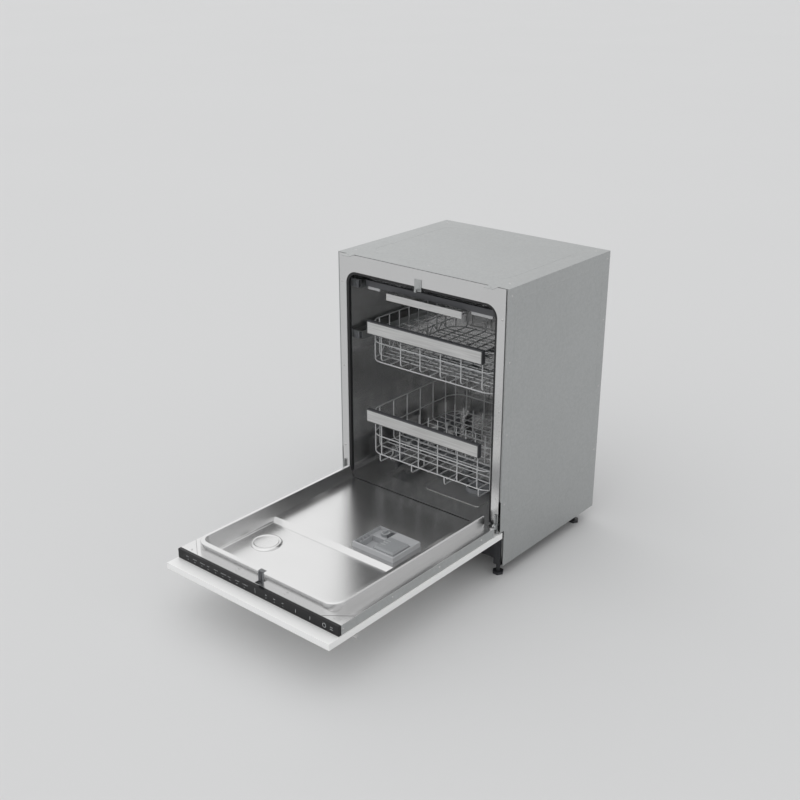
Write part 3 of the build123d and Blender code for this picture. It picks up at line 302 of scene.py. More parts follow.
class Shape:
    """Vertices and faces of one mesh, gathered from simple solids."""

    def __init__(self):
        self.vertices = []
        self.faces = []

    def join(self, vertices, faces):
        """Adds a solid's vertices and faces to those that are there."""
        start = len(self.vertices)
        self.vertices += [tuple(v) for v in vertices]
        self.faces += [[start + i for i in face] for face in faces]

    def box(self, x, y, z):
        """Block between two values along each axis."""
        corners = [Vector((a, b, c)) for a in x for b in y for c in z]
        self.join(corners, [(0, 1, 3, 2), (4, 6, 7, 5), (0, 4, 5, 1), (2, 3, 7, 6), (0, 2, 6, 4),
                            (1, 5, 7, 3)])

    def prism(self, outline, axis, low, high):
        """Outline across an axis, between two values along it."""
        count = len(outline)
        points = [turned(axis, t, *p) for t in (low, high) for p in outline]
        sides = [(i, (i + 1) % count, count + (i + 1) % count, count + i) for i in range(count)]
        self.join(points, sides + [tuple(range(count))[::-1], tuple(range(count, 2 * count))])

    def lathe(self, profile, centre, axis=Z, steps=32, closed=False):
        """Pairs of radius and height turned about an axis through the centre."""
        centre = Vector(centre)
        rings = len(profile)
        points = []
        for radius, height in profile:
            for s in range(steps):
                angle = 2 * math.pi * s / steps
                across = radius * math.cos(angle), radius * math.sin(angle)
                points.append(centre + turned(axis, height, *across))
        faces = []
        for r in range(rings if closed else rings - 1):
            a, b = r * steps, (r + 1) % rings * steps
            faces += [(a + s, a + (s + 1) % steps, b + (s + 1) % steps, b + s) for s in range(steps)]
        if not closed:
            faces += [tuple(range(steps))[::-1], tuple(range((rings - 1) * steps, rings * steps))]
        self.join(points, faces)

    def web(self, centre, inner, outer, hole, holes, thickness):
        """Wheel's web across X with a ring of round holes."""
        centre = Vector(centre)
        sector = 2 * math.pi / holes
        middle = (inner + outer) / 2
        cuts = 6
        for k in range(holes):
            start = k * sector
            edge = [(outer, start + sector * t / cuts) for t in range(cuts)]
            edge += [(outer - (outer - inner) * t / cuts, start + sector) for t in range(cuts)]
            edge += [(inner, start + sector * (1 - t / cuts)) for t in range(cuts)]
            edge += [(inner + (outer - inner) * t / cuts, start) for t in range(cuts)]
            rim = [Vector((r * math.cos(a), r * math.sin(a))) for r, a in edge]
            seat = Vector((middle * math.cos(start + sector / 2), middle * math.sin(start + sector / 2)))
            mouth = [seat + (p - seat).normalized() * hole for p in rim]
            count = len(rim)
            points = [centre + turned(X, x, *p) for x in (-thickness / 2, thickness / 2)
                      for p in rim + mouth]
            faces = []
            for i in range(count):
                j = (i + 1) % count
                back, front = 0, 2 * count
                faces.append((back + i, back + count + i, back + count + j, back + j))
                faces.append((front + i, front + j, front + count + j, front + count + i))
                faces.append((back + count + i, front + count + i, front + count + j, back + count + j))
            self.join(points, faces)

    def screw(self, centre, axis, way, radius):
        """Pan head with a recess, pointing along an axis (1) or against it (-1)."""
        height = 0.45 * radius * way
        profile = [(radius, 0), (0.92 * radius, 0.6 * height), (0.55 * radius, height),
                   (0.42 * radius, height), (0.3 * radius, 0.35 * height), (0.02 * radius, 0.3 * height)]
        self.lathe(profile, centre, axis, 16)

    def piece(self, name, paint, body, slot, stands_for=(), smooth=None, bevel=0.0):
        """Mesh object that rides on a body."""
        mesh = bpy.data.meshes.new(name)
        mesh.from_pydata(self.vertices, [], self.faces)
        mesh.update()
        obj = bpy.data.objects.new(name, mesh)
        bpy.context.scene.collection.objects.link(obj)
        if bevel:
            obj.modifiers.new("rounding", "BEVEL").width = bevel
            obj.modifiers["rounding"].segments = 2
        if smooth:
            mesh.shade_smooth()
            mesh.set_sharp_from_angle(angle=math.radians(smooth))
        settle(obj, paint, body, stands_for)


def settle(obj, paint, body, stands_for):
    """Gives a new piece its material and body, and hides the nodes that it stands for."""
    obj.data.materials.append(paint)
    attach(obj, body)
    if stands_for:
        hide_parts(*stands_for)


def rounded(points, radius=BEND, closed=False):
    """Route through the points with its corners turned on arcs."""
    points = [Vector(p) for p in points]
    route = []
    for i, corner in enumerate(points):
        before = points[i - 1] - corner
        after = points[(i + 1) % len(points)] - corner
        ends = not closed and i in (0, len(points) - 1)
        if ends or before.angle(after) > math.radians(179):
            route.append(corner)
            continue
        half = before.angle(after) / 2
        reach = min(radius / math.tan(half), 0.49 * before.length, 0.49 * after.length)
        middle = before.normalized() + after.normalized()
        centre = corner + middle.normalized() * reach / math.cos(half)
        arm = corner + before.normalized() * reach - centre
        axis = arm.cross(corner + after.normalized() * reach - centre)
        for s in range(CORNER_STEPS + 1):
            route.append(centre + Quaternion(axis, (math.pi - 2 * half) * s / CORNER_STEPS) @ arm)
    return route


def wires(name, routes, radius, paint, body, stands_for=(), closed=()):
    """Round wires along open routes and closed ones, as one piece."""
    curve = bpy.data.curves.new(name, "CURVE")
    curve.dimensions = "3D"
    curve.bevel_depth = radius
    curve.bevel_resolution = 2
    curve.use_fill_caps = True
    for loop, group in ((False, routes), (True, closed)):
        for route in group:
            spline = curve.splines.new("POLY")
            spline.points.add(len(route) - 1)
            for dot, place in zip(spline.points, route):
                dot.co = (*place, 1)
            spline.use_cyclic_u = loop
    obj = bpy.data.objects.new(name, curve)
    bpy.context.scene.collection.objects.link(obj)
    settle(obj, paint, body, stands_for)


def spread(low, high, count):
    """Evenly spaced values from low to high."""
    return [low + (high - low) * i / (count - 1) for i in range(count)]


def dress(paint, *nodes, bevel=0.0):
    """Material of CAD nodes, with their sharp edges eased."""
    for name in nodes:
        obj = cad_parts[name]
        obj.data.materials.clear()
        obj.data.materials.append(paint)
        if bevel:
            obj.modifiers.new("seams", "WELD").merge_threshold = 0.01 * MM
            ease = obj.modifiers.new("edges", "BEVEL")
            ease.width = bevel
            ease.segments = 2
            ease.limit_method = "ANGLE"
            ease.angle_limit = math.radians(40)
            ease.harden_normals = True


# Door


def dress_door():
    """Materials of the door's nodes."""
    dress(tub_steel, "door_liner")
    dress(zinc_sheet, "door_frame", "hinge_arms")
    dress(gloss_strip, "control_strip", bevel=0.4 * MM)
    dress(lacquer, "front_panel", bevel=0.8 * MM)
    dress(bar_steel, "panel_handle")
    dress(case_plastic, "dispenser_body")
    dress(lid_plastic, "dispenser_lid", "rinse_aid_cap", bevel=0.6 * MM)
    dress(latch_plastic, "latch_housing")
    dress(zinc_sheet, "latch_bolt")


def door_screws():
    """Screws of the liner's ledge and of its sides."""
    low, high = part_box("door_liner")
    ledge = low.z + LEDGE_RISE
    heads = Shape()
    for x in (-260, -90, 90, 260):
        heads.screw((x * MM, low.y + 9.5 * MM, ledge), Z, 1, DOOR_SCREW)
    for y in (low.y + 7 * MM, low.y + 190 * MM, low.y + 381 * MM, high.y - 60 * MM):
        for side in (1, -1):
            heads.screw((side * high.x, y, ledge - 12 * MM), X, side, DOOR_SCREW)
    heads.piece("door_screws", screw_steel, "door", "zinc_steel", smooth=40)


def corner_seams():
    """Folded seam across each far corner of the liner's ledge, drawn as a thin line of painted shade."""
    low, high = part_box("door_liner")
    top = low.z + LEDGE_RISE + 0.1 * MM
    seams = [[(side * (high.x - 1 * MM), low.y + 52 * MM, top),
              (side * (high.x - 66 * MM), low.y + 1 * MM, top)] for side in (-1, 1)]
    # A thin dark wire of painted shade along each seam's crease
    wires("liner_corner_seam_shade", seams, 0.35 * MM, recess_shade, "door")


def field_bead():
    """Pressed bead round the raised field of the liner's deeper floor."""
    bead = Shape()
    profile = turning((45.5, 0.05), (44, 2.2), (41.5, 4.4), (38.5, 5), (35.5, 4.4), (33, 3.02), (33, 0.05))
    bead.lathe(profile, FIELD_FOOT, Z, 64, closed=True)
    bead.piece("liner_field_bead", tub_steel, "door", "tub_steel", smooth=50)


def strip_marks():
    """Printed dashes, ticks and a ring on the control strip's face, without any words."""
    low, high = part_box("control_strip")
    face = low.y - 0.05 * MM
    middle = (low.z + high.z) / 2
    # Place along the strip, height above its middle, width and height of each mark in mm
    rows = spread(-255, -35, 9)
    marks = [(x + k * 5 - 4, 3, 3.4, 1.1) for i, x in enumerate(rows) for k in range(2 + i % 3)]
    marks += [(x, -5, 5, 0.7) for x in rows] + [(5, 0, 0.7, 15)]
    marks += [mark for x in (45, 75, 105) for mark in ((x, 3, 6, 1.1), (x, -5, 3, 0.7))]
    marks += [(x, 0, 1.1, 9) for x in (150, 199)] + [(271, z, 9, 1.1) for z in (-3, 3)]
    ink = Shape()
    for x, z, width, height in marks:
        ink.box(((x - width / 2) * MM, (x + width / 2) * MM), (face, face + 0.15 * MM),
                (middle + (z - height / 2) * MM, middle + (z + height / 2) * MM))
    ring = turning((6, 0), (6, 0.15), (5, 0.15), (5, 0))
    ink.lathe(ring, (247 * MM, face, middle), Y, 28, closed=True)
    ink.piece("strip_marks", mark_ink, "door", "light_plastic")


def latch_parts():
    """Sloping tongue between two cheeks on the tower's front, and a dark frame round the latch's mouth."""
    low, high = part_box("latch_housing")
    front = high.y - TOWER_DEPTH
    foot = high.z - TOWER_HEIGHT
    tongue = Shape()
    side = [(front + 1 * MM, foot + 1 * MM), (front - 4.5 * MM, foot + 1 * MM),
            (front - 4.5 * MM, foot + 5 * MM), (front - 0.6 * MM, high.z - 1 * MM),
            (front + 1 * MM, high.z - 1 * MM)]
    tongue.prism(side, X, -4.6 * MM, 4.6 * MM)
    tongue.piece("latch_tongue", dark_plastic, "door", "dark_plastic", bevel=0.8 * MM)
    cheeks = Shape()
    for x in (-9.6, 6.2):
        cheeks.box((x * MM, (x + 3.4) * MM), (front - 2.4 * MM, front + 1 * MM), (foot, high.z - 2.5 * MM))
    cheeks.piece("latch_cheeks", grey_plastic, "door", "grey_plastic", bevel=0.8 * MM)
    mouth_low = low.y + 1.2 * MM
    mouth_high = mouth_low + MOUTH_LENGTH
    edge = 2.4 * MM
    level = (foot - 0.3 * MM, foot + 0.12 * MM)
    rim = Shape()
    for x in (-MOUTH_HALF - edge, MOUTH_HALF):
        rim.box((x, x + edge), (mouth_low + 1.5 * MM, mouth_high + edge), level)
    rim.box((-MOUTH_HALF, MOUTH_HALF), (mouth_high, mouth_high + edge), level)
    rim.piece("latch_mouth_frame", dark_plastic, "door", "dark_plastic")


def dispenser_details():
    """Fins in the tray, a nub on its wall, the catch beside the cap, the lid's ribs and the cap's rim."""
    low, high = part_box("dispenser_body")
    floor = low.z + 17.5 * MM
    fins = Shape()
    for y in spread(low.y + 20 * MM, low.y + 62 * MM, 4):
        fins.box((low.x + 4 * MM, low.x + 9 * MM), (y - 0.8 * MM, y + 0.8 * MM), (floor, high.z - 3 * MM))
    fins.piece("dispenser_fins", case_plastic, "door", "grey_plastic", bevel=0.5 * MM)
    nub = Shape()
    middle = (low.x + high.x) / 2
    nub.box((middle - 2 * MM, middle + 2 * MM), (low.y + 0.8 * MM, low.y + 2.8 * MM),
            (high.z - 1 * MM, high.z + 1.2 * MM))
    nub.piece("dispenser_nub", light_plastic, "door", "light_plastic", bevel=0.5 * MM)
    catch = Shape()
    catch.box((low.x + 51 * MM, low.x + 62 * MM), (high.y - 31 * MM, high.y - 9 * MM),
              (floor, high.z - 1 * MM))
    catch.piece("dispenser_catch", dark_plastic, "door", "dark_plastic", bevel=0.5 * MM)
    low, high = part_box("dispenser_lid")
    ribs = Shape()
    for y in spread(low.y + 24 * MM, high.y - 24 * MM, 3):
        ribs.box((low.x + 8 * MM, low.x + 24 * MM), (y - 1 * MM, y + 1 * MM),
                 (high.z - 0.4 * MM, high.z + 0.8 * MM))
    ribs.piece("dispenser_lid_ribs", light_plastic, "dispenser_lid", "light_plastic", bevel=0.3 * MM)
    low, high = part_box("rinse_aid_cap")
    middle = (low + high) / 2
    ring = Shape()
    outer = 0.47 * (high.x - low.x)
    inner = outer - 2 * MM
    profile = [(outer, 0), (outer, 1.2 * MM), (inner, 1.2 * MM), (inner, 0)]
    ring.lathe(profile, (middle.x, middle.y, high.z - 4 * MM), Z, 40, closed=True)
    ring.piece("rinse_aid_cap_rim", light_plastic, "rinse_aid_cap", "light_plastic", smooth=30)


def handle_ends():
    """Collars where the panel handle's posts meet the panel."""
    low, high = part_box("panel_handle")
    y = (low.y + high.y) / 2
    collars = Shape()
    for x in (-240, 240):
        collars.lathe(turning((7.5, 0), (7.5, -1.2), (5, -2.4)), (x * MM, y, high.z), Z, 28)
    collars.piece("panel_handle_collars", bar_steel, "door", "strip_steel", smooth=40)


# Racks


def basket_loops(node, levels):
    """Closed wires with rounded corners round a basket at these heights."""
    low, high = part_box(node)
    edge = BASKET_WIRE
    x0, x1, y0, y1 = low.x + edge, high.x - edge, low.y + edge, high.y - edge
    return [rounded([(x0, y0, z), (x1, y0, z), (x1, y1, z), (x0, y1, z)], BASKET_CORNER - edge, True)
            for z in levels]


def hoops(node, top, bottom, xs, ys, rise):
    """Wires bent across a basket: up one wall, over the floor and up the other wall."""
    low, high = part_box(node)
    edge = BASKET_WIRE
    x0, x1, y0, y1 = low.x + edge, high.x - edge, low.y + edge, high.y - edge
    floor = bottom + rise
    routes = [rounded([(x0, y, top), (x0, y, bottom), (x1, y, bottom), (x1, y, top)]) for y in ys]
    return routes + [rounded([(x, y0, top), (x, y0, floor), (x, y1, floor), (x, y1, top)]) for x in xs]


def corner_posts(node, top, bottom):
    """Upright in the middle of each rounded corner."""
    low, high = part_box(node)
    reach = (BASKET_CORNER - BASKET_WIRE) * math.cos(math.pi / 4)
    posts = []
    for x, sx in ((low.x + BASKET_CORNER, -1), (high.x - BASKET_CORNER, 1)):
        for y, sy in ((low.y + BASKET_CORNER, -1), (high.y - BASKET_CORNER, 1)):
            posts.append([(x + sx * reach, y + sy * reach, z) for z in (bottom, top)])
    return posts


def zigzag(node, low_z, high_z, pitch):
    """Bracing wire bent up and down along both side walls."""
    low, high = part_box(node)
    start, end = low.y + BASKET_CORNER, high.y - BASKET_CORNER
    count = round((end - start) / pitch) * 2
    routes = []
    for x in (low.x + 3 * BASKET_WIRE, high.x - 3 * BASKET_WIRE):
        points = [(x, y, high_z if i % 2 else low_z) for i, y in enumerate(spread(start, end, count + 1))]
        routes.append(rounded(points, 5 * MM))
    return routes


def floor_wires(node, bottom, xs, ys, rise):
    """Straight wires of a basket's floor, those along Y this much above the others."""
    low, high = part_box(node)
    edge = BASKET_WIRE
    routes = [[(x, low.y + edge, bottom + rise), (x, high.y - edge, bottom + rise)] for x in xs]
    return routes + [[(low.x + edge, y, bottom), (high.x - edge, y, bottom)] for y in ys]


def lower_basket():
    """Wire basket with the bent runners under its front; its long floor wires run under the cross wires."""
    node = "lower_basket"
    low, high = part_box(node)
    bottom = low.z + FLOOR_RISE
    top = high.z - BASKET_WIRE
    middle = (bottom + top) / 2 - 6 * MM
    hoop_xs = [x * MM for x in (-180, -108, -36, 36, 108, 180)]
    floor_xs = [x * MM for x in (-144, -72, 0, 72, 144)]
    ys = spread(low.y + 52 * MM, high.y - 52 * MM, 6)
    routes = hoops(node, top, bottom, hoop_xs, ys, -WIRE_CROSSING) + corner_posts(node, top, bottom)
    routes += floor_wires(node, bottom, floor_xs, [(a + b) / 2 for a, b in zip(ys, ys[1:])], -WIRE_CROSSING)
    y0, y1 = low.y + BASKET_WIRE, low.y + 62 * MM
    foot = low.z + BASKET_WIRE
    for x in (-186 * MM, -62 * MM, 62 * MM, 186 * MM):
        routes.append(rounded([(x, y0, bottom), (x, y0, foot), (x, y1, foot), (x, y1, bottom)], 7 * MM))
    wires("lower_basket_wires", routes, BASKET_WIRE, wire_coat, "lower_rack", [node],
          basket_loops(node, (bottom, middle, top)))
    clips("lower_basket_clips", bottom, ys[1:5], "lower_rack", 152 * MM)


def clips(name, z, ys, body, reach):
    """Moulded clips over the floor's wires."""
    shape = Shape()
    for x in (-reach - 14 * MM, reach + 14 * MM):
        for y in ys:
            shape.box((x - 6 * MM, x + 6 * MM), (y - 5 * MM, y + 5 * MM), (z - 2.6 * MM, z + 7 * MM))
    shape.piece(name, light_plastic, body, "light_plastic", bevel=1.2 * MM)


def upper_basket():
    """Wire basket with a bracing wire along both side walls."""
    node = "upper_basket"
    low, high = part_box(node)
    bottom = low.z + BASKET_WIRE
    top = high.z - BASKET_WIRE
    middle = (bottom + top) / 2
    hoop_xs = [x * MM for x in (-184, -110, -37, 37, 110, 184)]
    floor_xs = [x * MM for x in (-147, -73, 0, 73, 147)]
    ys = spread(low.y + 52 * MM, high.y - 52 * MM, 8)
    routes = hoops(node, top, bottom, hoop_xs, ys, WIRE_CROSSING) + corner_posts(node, top, bottom)
    routes += floor_wires(node, bottom, floor_xs, [(a + b) / 2 for a, b in zip(ys, ys[1:])], WIRE_CROSSING)
    routes += zigzag(node, bottom, bottom + 30 * MM, ys[1] - ys[0])
    wires("upper_basket_wires", routes, BASKET_WIRE, wire_coat, "upper_rack", [node],
          basket_loops(node, (bottom, middle, top)))
    clips("upper_basket_clips", bottom, ys[1:7:2], "upper_rack", 60 * MM)


def tine_rows():
    """Folding rows of tines on a round bar, with a rounded tip on each tine."""
    for node in ("lower_tines_front", "lower_tines_rear"):
        low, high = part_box(node)
        y = (low.y + high.y) / 2
        z = low.z + 2 * MM
        xs = spread(low.x + 8 * MM, high.x - 8 * MM, 9)
        routes = [[(low.x, y, z), (high.x, y, z)]]
        routes += [rounded([(x, y, z), (x, y, high.z - 6 * MM), (x, y + 0.6 * MM, high.z)], 20 * MM)
                   for x in xs]
        wires(node + "_wires", routes, TINE_WIRE, wire_coat, node, [node])
        tips = Shape()
        for x in xs:
            dome = [(TINE_WIRE, -3 * MM), (TINE_WIRE, 0), *turning((1.4, 1.2), (0.3, 1.7))]
            tips.lathe(dome, (x, y, high.z - 1 * MM), Z, 12)
        tips.piece(node + "_tips", wire_coat, node, "wire_coat", smooth=50)


def cup_shelves():
    """Folding shelves of fine wire: loops out from the hinge, and two long wires that tie them."""
    for node in ("cup_shelf_left", "cup_shelf_right"):
        low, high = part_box(node)
        side = 1 if low.x < 0 else -1
        hinge, tip = (low.x, high.x) if side > 0 else (high.x, low.x)
        root, inner = hinge + side * FINE_WIRE, tip - side * FINE_WIRE
        z = (low.z + high.z) / 2
        ys = spread(low.y + 7 * MM, high.y - 7 * MM, 7)
        routes = [rounded([(root, a, z), (inner, a, z), (inner, b, z), (root, b, z)], 8 * MM)
                  for a, b in zip(ys[::2], ys[1::2])]
        routes.append([(root, low.y, z), (root, high.y, z)])
        routes.append([(root, ys[-1], z), (inner, ys[-1], z)])
        for x in (hinge + (tip - hinge) * 0.5, inner):
            routes.append([(x, low.y + 5 * MM, z), (x, high.y - 5 * MM, z)])
        wires(node + "_wires", routes, FINE_WIRE, wire_coat, node, [node])


def wheels():
    """Wheels with a hub, a rim and a web of five holes."""
    for side in ("left", "right"):
        for number in range(1, 5):
            node = f"wheel_{side}_{number}"
            low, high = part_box(node)
            centre = (low + high) / 2
            radius, half = (high.z - low.z) / 2, (high.x - low.x) / 2
            rim = radius - 3.5 * MM
            wheel = Shape()
            tyre = [(rim, -half), (radius - 1 * MM, -half), (radius, -half + 1.2 * MM),
                    (radius, half - 1.2 * MM), (radius - 1 * MM, half), (rim, half)]
            wheel.lathe(tyre, centre, X, 48, closed=True)
            hub = [(3.1 * MM, -half), (6 * MM, -half), (6.6 * MM, 0), (6 * MM, half), (3.1 * MM, half)]
            wheel.lathe(hub, centre, X, 32, closed=True)
            wheel.web(centre, 6 * MM, rim + 0.3 * MM, 2.9 * MM, 5, 4 * MM)
            wheel.piece(node + "_moulded", roller_plastic, node, "dark_plastic", [node], smooth=35)


def axle_caps():
    """Push-on caps that keep the wheels on their stubs."""
    caps = Shape()
    for side, way in (("left", -1), ("right", 1)):
        for number in range(1, 5):
            low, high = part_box(f"wheel_{side}_{number}")
            centre = (low + high) / 2
            face = high.x if way > 0 else low.x
            profile = turning((4.6, 0.4), (4.6, 1.6), (3.4, 2.6), (0.3, 2.8), way=way)
            caps.lathe(profile, (face, centre.y, centre.z), X, 24)
    caps.piece("axle_caps", grey_plastic, "lower_rack", "grey_plastic", smooth=40)


def brace_wires():
    """Bent wires from the lower basket's floor to the carriers."""
    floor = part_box("lower_basket")[0].z + FLOOR_RISE
    routes = []
    for side in (-1, 1):
        for number in (1, 4):
            low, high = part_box(f"wheel_right_{number}")
            y = (low.y + high.y) / 2
            z = (low.z + high.z) / 2 + 4 * MM
            x = side * (low.x - 3.6 * MM)
            routes.append(rounded([(x, y - 34 * MM, floor), (x, y - 9 * MM, z), (x, y + 9 * MM, z),
                                   (x, y + 20 * MM, floor)], 6 * MM))
    wires("carrier_brace_wires", routes, FINE_WIRE, wire_coat, "lower_rack")


def dress_racks():
    """Materials of the racks' grips, carriers, arms and rails."""
    dress(dark_plastic, "lower_handle", "upper_handle", bevel=1.2 * MM)
    dress(brushed, "lower_handle_strip", "upper_handle_strip")
    dress(grey_plastic, "wheel_carriers")
    dress(grey_plastic, "upper_feed_tube", "upper_spray_arm", "lower_spray_arm", bevel=0.8 * MM)
    dress(rail_steel, "upper_rail_inners", "upper_rail_middles", "tray_rail_middles", "tub_rails")


def grips():
    """Steel strip over each grip's whole face, inside a raised dark lip."""
    for level, body in (("lower", "lower_rack"), ("upper", "upper_rack")):
        low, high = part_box(f"{level}_handle_strip")
        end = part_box(f"{level}_handle")[1].x - GRIP_LIP
        strip = Shape()
        strip.box((-end, end), (low.y, high.y), (low.z, high.z))
        strip.piece(f"{level}_grip_strip", brushed, body, "strip_steel", [f"{level}_handle_strip"],
                    bevel=0.4 * MM)
        lip = GRIP_LIP / 2
        x, y = end + lip, low.y + 1.2 * MM
        loop = rounded([(-x, y, low.z), (x, y, low.z), (x, y, high.z), (-x, y, high.z)], 2 * MM, True)
        wires(f"{level}_grip_lip", [], lip, dark_plastic, body, closed=[loop])


def rail_parts():
    """Balls and end stops of the telescopic rails' middle members, and caps on the ends of the fixed ones."""
    for node, body in (("upper_rail_middles", "upper_rail"), ("tray_rail_middles", "tray_rail")):
        low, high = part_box(node)
        z = (low.z + high.z) / 2
        balls = Shape()
        stops = Shape()
        ball = turning((0.3, -3), (2.2, -2.2), (3, 0), (2.2, 2.2), (0.3, 3))
        for side in (-1, 1):
            for y in spread(low.y + 40 * MM, high.y - 40 * MM, 9):
                balls.lathe(ball, (side * (high.x - 4.5 * MM), y, z), X, 12)
            stops.box(on_side(side, high.x - 7.4 * MM, high.x - 0.6 * MM), (low.y + 1 * MM, low.y + 9 * MM),
                      (z - 9.5 * MM, z + 9.5 * MM))
        balls.piece(node + "_balls", screw_steel, body, "rail_steel", smooth=60)
        stops.piece(node + "_stops", dark_plastic, body, "dark_plastic", bevel=1 * MM)
    low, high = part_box("tub_rails")
    caps = Shape()
    for side in (-1, 1):
        for z in (low.z + 13 * MM, high.z - 13 * MM):
            caps.box(on_side(side, high.x - 20.4 * MM, high.x), (low.y - 2.5 * MM, low.y + 8 * MM),
                     (z - 12.6 * MM, z + 12.6 * MM))
            caps.box(on_side(side, high.x - 15 * MM, high.x - 6 * MM), (low.y - 4 * MM, low.y),
                     (z - 7 * MM, z + 7 * MM))
    caps.piece("rail_end_caps", grey_plastic, "cabinet", "grey_plastic", bevel=1.5 * MM)


# Cutlery tray


def tray():
    """Tray's frame and steel grip, its two cutlery inserts, and the brackets under its front."""
    dress(dark_plastic, "tray_frame", bevel=1.0 * MM)
    dress(brushed, "tray_handle")
    low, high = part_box("tray_inserts")
    left = insert(low.x, NET_START - INSERT_GAP, low, high, 4, 22 * MM)
    left.piece("tray_insert_left", light_plastic, "tray", "light_plastic", ["tray_inserts"], bevel=0.4 * MM)
    right = insert(DIVIDER + INSERT_GAP, high.x, low, high, 7, 12 * MM)
    right.piece("tray_insert_right", dark_plastic, "tray", "dark_plastic", bevel=0.4 * MM)
    net_end = DIVIDER - INSERT_GAP
    y0, y1, z = low.y + 2 * MM, high.y - 2 * MM, low.z + 3 * MM
    net = [[(x, y0, z), (x, y1, z)] for x in spread(NET_START, net_end, 11)]
    net += [[(NET_START, y, z + 2 * NET_WIRE), (net_end, y, z + 2 * NET_WIRE)] for y in spread(y0, y1, 47)]
    upper = z + 9 * MM
    rims = [[(NET_START, y0, level), (net_end, y0, level), (net_end, y1, level), (NET_START, y1, level)]
            for level in (z, upper)]
    posts = [[(x, y, z), (x, y, upper)] for x in (NET_START, net_end) for y in spread(y0, y1, 12)]
    wires("tray_net", net + posts, NET_WIRE, dark_plastic, "tray", closed=rims)
    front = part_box("tray_frame")[0].y
    under = low.z - 3 * MM
    brackets = Shape()
    for x0, x1 in ((-222, -178), (150, 222)):
        brackets.box((x0 * MM, x1 * MM), (front + 2 * MM, front + 10 * MM),
                     (under - 9 * MM, under + 0.5 * MM))
    brackets.piece("tray_brackets", light_plastic, "tray", "light_plastic", bevel=1 * MM)
    lip = Shape()
    lip.box((DIVIDER + 2 * INSERT_GAP, high.x - 8 * MM), (low.y + 0.5 * MM, low.y + 4 * MM),
            (high.z - 4 * MM, high.z - 1.5 * MM))
    lip.piece("tray_insert_lip", light_plastic, "tray", "light_plastic", bevel=0.6 * MM)


def insert(x0, x1, low, high, combs, pitch):
    """Rim, slatted floor and scalloped combs of one insert."""
    shape = Shape()
    wall = 3 * MM
    z0, z1 = low.z, high.z - 3 * MM
    y0, y1 = low.y + wall, high.y - wall
    for y in (low.y, y1):
        shape.box((x0, x1), (y, y + wall), (z0, z1))
    for x in (x0, x1 - wall):
        shape.box((x, x + wall), (y0, y1), (z0, z1))
    slats = round((high.y - low.y) / (14 * MM))
    for y in spread(low.y + 8 * MM, high.y - 8 * MM, slats):
        shape.box((x0 + wall, x1 - wall), (y - 1.6 * MM, y + 1.6 * MM), (z0, z0 + 2.4 * MM))
    steps = 6
    points = round((y1 - y0) / pitch) * steps
    valley = z0 + 4 * MM
    crest = [(y0 + (y1 - y0) * i / points, valley + (high.z - valley) * abs(math.sin(math.pi * i / steps)))
             for i in range(points + 1)]
    outline = [(y0, z0)] + crest + [(y1, z0)]
    for x in spread(x0 + 14 * MM, x1 - 14 * MM, combs):
        shape.prism(outline[::-1], X, x - 0.9 * MM, x + 0.9 * MM)
    return shape


# Tub and water system


def dress_cabinet():
    """Materials of the tub, the casing, the base and the water system."""
    dress(tub_steel, "tub", "tub_floor")
    dress(rubber, "tub_gasket")
    dress(felt, "insulation_jacket")
    dress(zinc_sheet, "side_panels", "top_plate", "hinge_brackets", "latch_strike", "door_springs")
    dress(base_plastic, "base_frame", "sump", "pumps")
    dress(wheel_plastic, "levelling_feet")
    dress(light_plastic, "inlet_valve", "float")
    dress(mesh_steel, "filter_plate")
    dress(grey_plastic, "lower_arm_post", "feed_pipe", "ceiling_spray_arm", "filter_cylinder")


def spray_jets():
    """Nozzle slots along both blades of each spray arm, drawn as thin dark patches of painted shade."""
    for node in ("lower_spray_arm", "upper_spray_arm", "ceiling_spray_arm"):
        low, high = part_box(node)
        middle = (low + high) / 2
        down = node == "ceiling_spray_arm"
        blade = 7.2 * MM
        face = high.z - blade if down else low.z + blade
        way = -1 if down else 1
        reach = high.x - middle.x
        slots = Shape()
        for i, share in enumerate((0.3, 0.46, 0.62, 0.78, 0.92)):
            for side in (-1, 1):
                x = middle.x + side * share * reach
                y = middle.y + (3 * MM if i % 2 else -3 * MM) * side
                slots.box((x - 4 * MM, x + 4 * MM), (y - 1 * MM, y + 1 * MM),
                          sorted((face - 0.5 * MM * way, face + 0.15 * MM * way)))
        # Each slot is a thin dark patch of painted shade on the blade, not an opening
        slots.piece(node + "_jets", recess_shade, node, "dark_plastic")


def strainer_details():
    """Rim of the filter cup."""
    low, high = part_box("filter_cylinder")
    middle = (low + high) / 2
    outer = (high.x - low.x) / 2 - 0.2 * MM
    inner = outer - 3.8 * MM
    rim = Shape()
    profile = [(outer, 0), (outer, 2.2 * MM), (inner, 2.2 * MM), (inner, 0)]
    rim.lathe(profile, (middle.x, middle.y, high.z - 10 * MM), Z, 48, closed=True)
    rim.piece("filter_rim", grey_plastic, "filter_cylinder", "grey_plastic", smooth=40)


def pipe_clips():
    """Clips that hold the feed pipe to the tub's back."""
    low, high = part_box("feed_pipe")
    shape = Shape()
    for z in (0.26, 0.42, 0.6, 0.72):
        shape.box((low.x - 4 * MM, high.x + 4 * MM), (high.y - 8 * MM, high.y + 0.2 * MM),
                  (z - 6 * MM, z + 6 * MM))
    shape.piece("feed_pipe_clips", light_plastic, "cabinet", "light_plastic", bevel=1 * MM)


def casing_screws():
    """Screws of the tub's flange and of the fixed rails."""
    heads = Shape()
    low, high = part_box("tub")
    for side in (-1, 1):
        for z in (0.26, 0.52, 0.78):
            heads.screw((side * (high.x - 9 * MM), low.y, z), Y, -1, FLANGE_SCREW)
    low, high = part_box("tub_rails")
    for side in (-1, 1):
        for z in (low.z + 13 * MM, high.z - 13 * MM):
            for y in (low.y + 60 * MM, high.y - 60 * MM):
                heads.screw((side * (high.x - 6 * MM), y, z), X, -side, DOOR_SCREW)
    heads.piece("casing_screws", screw_steel, "cabinet", "zinc_steel", smooth=40)


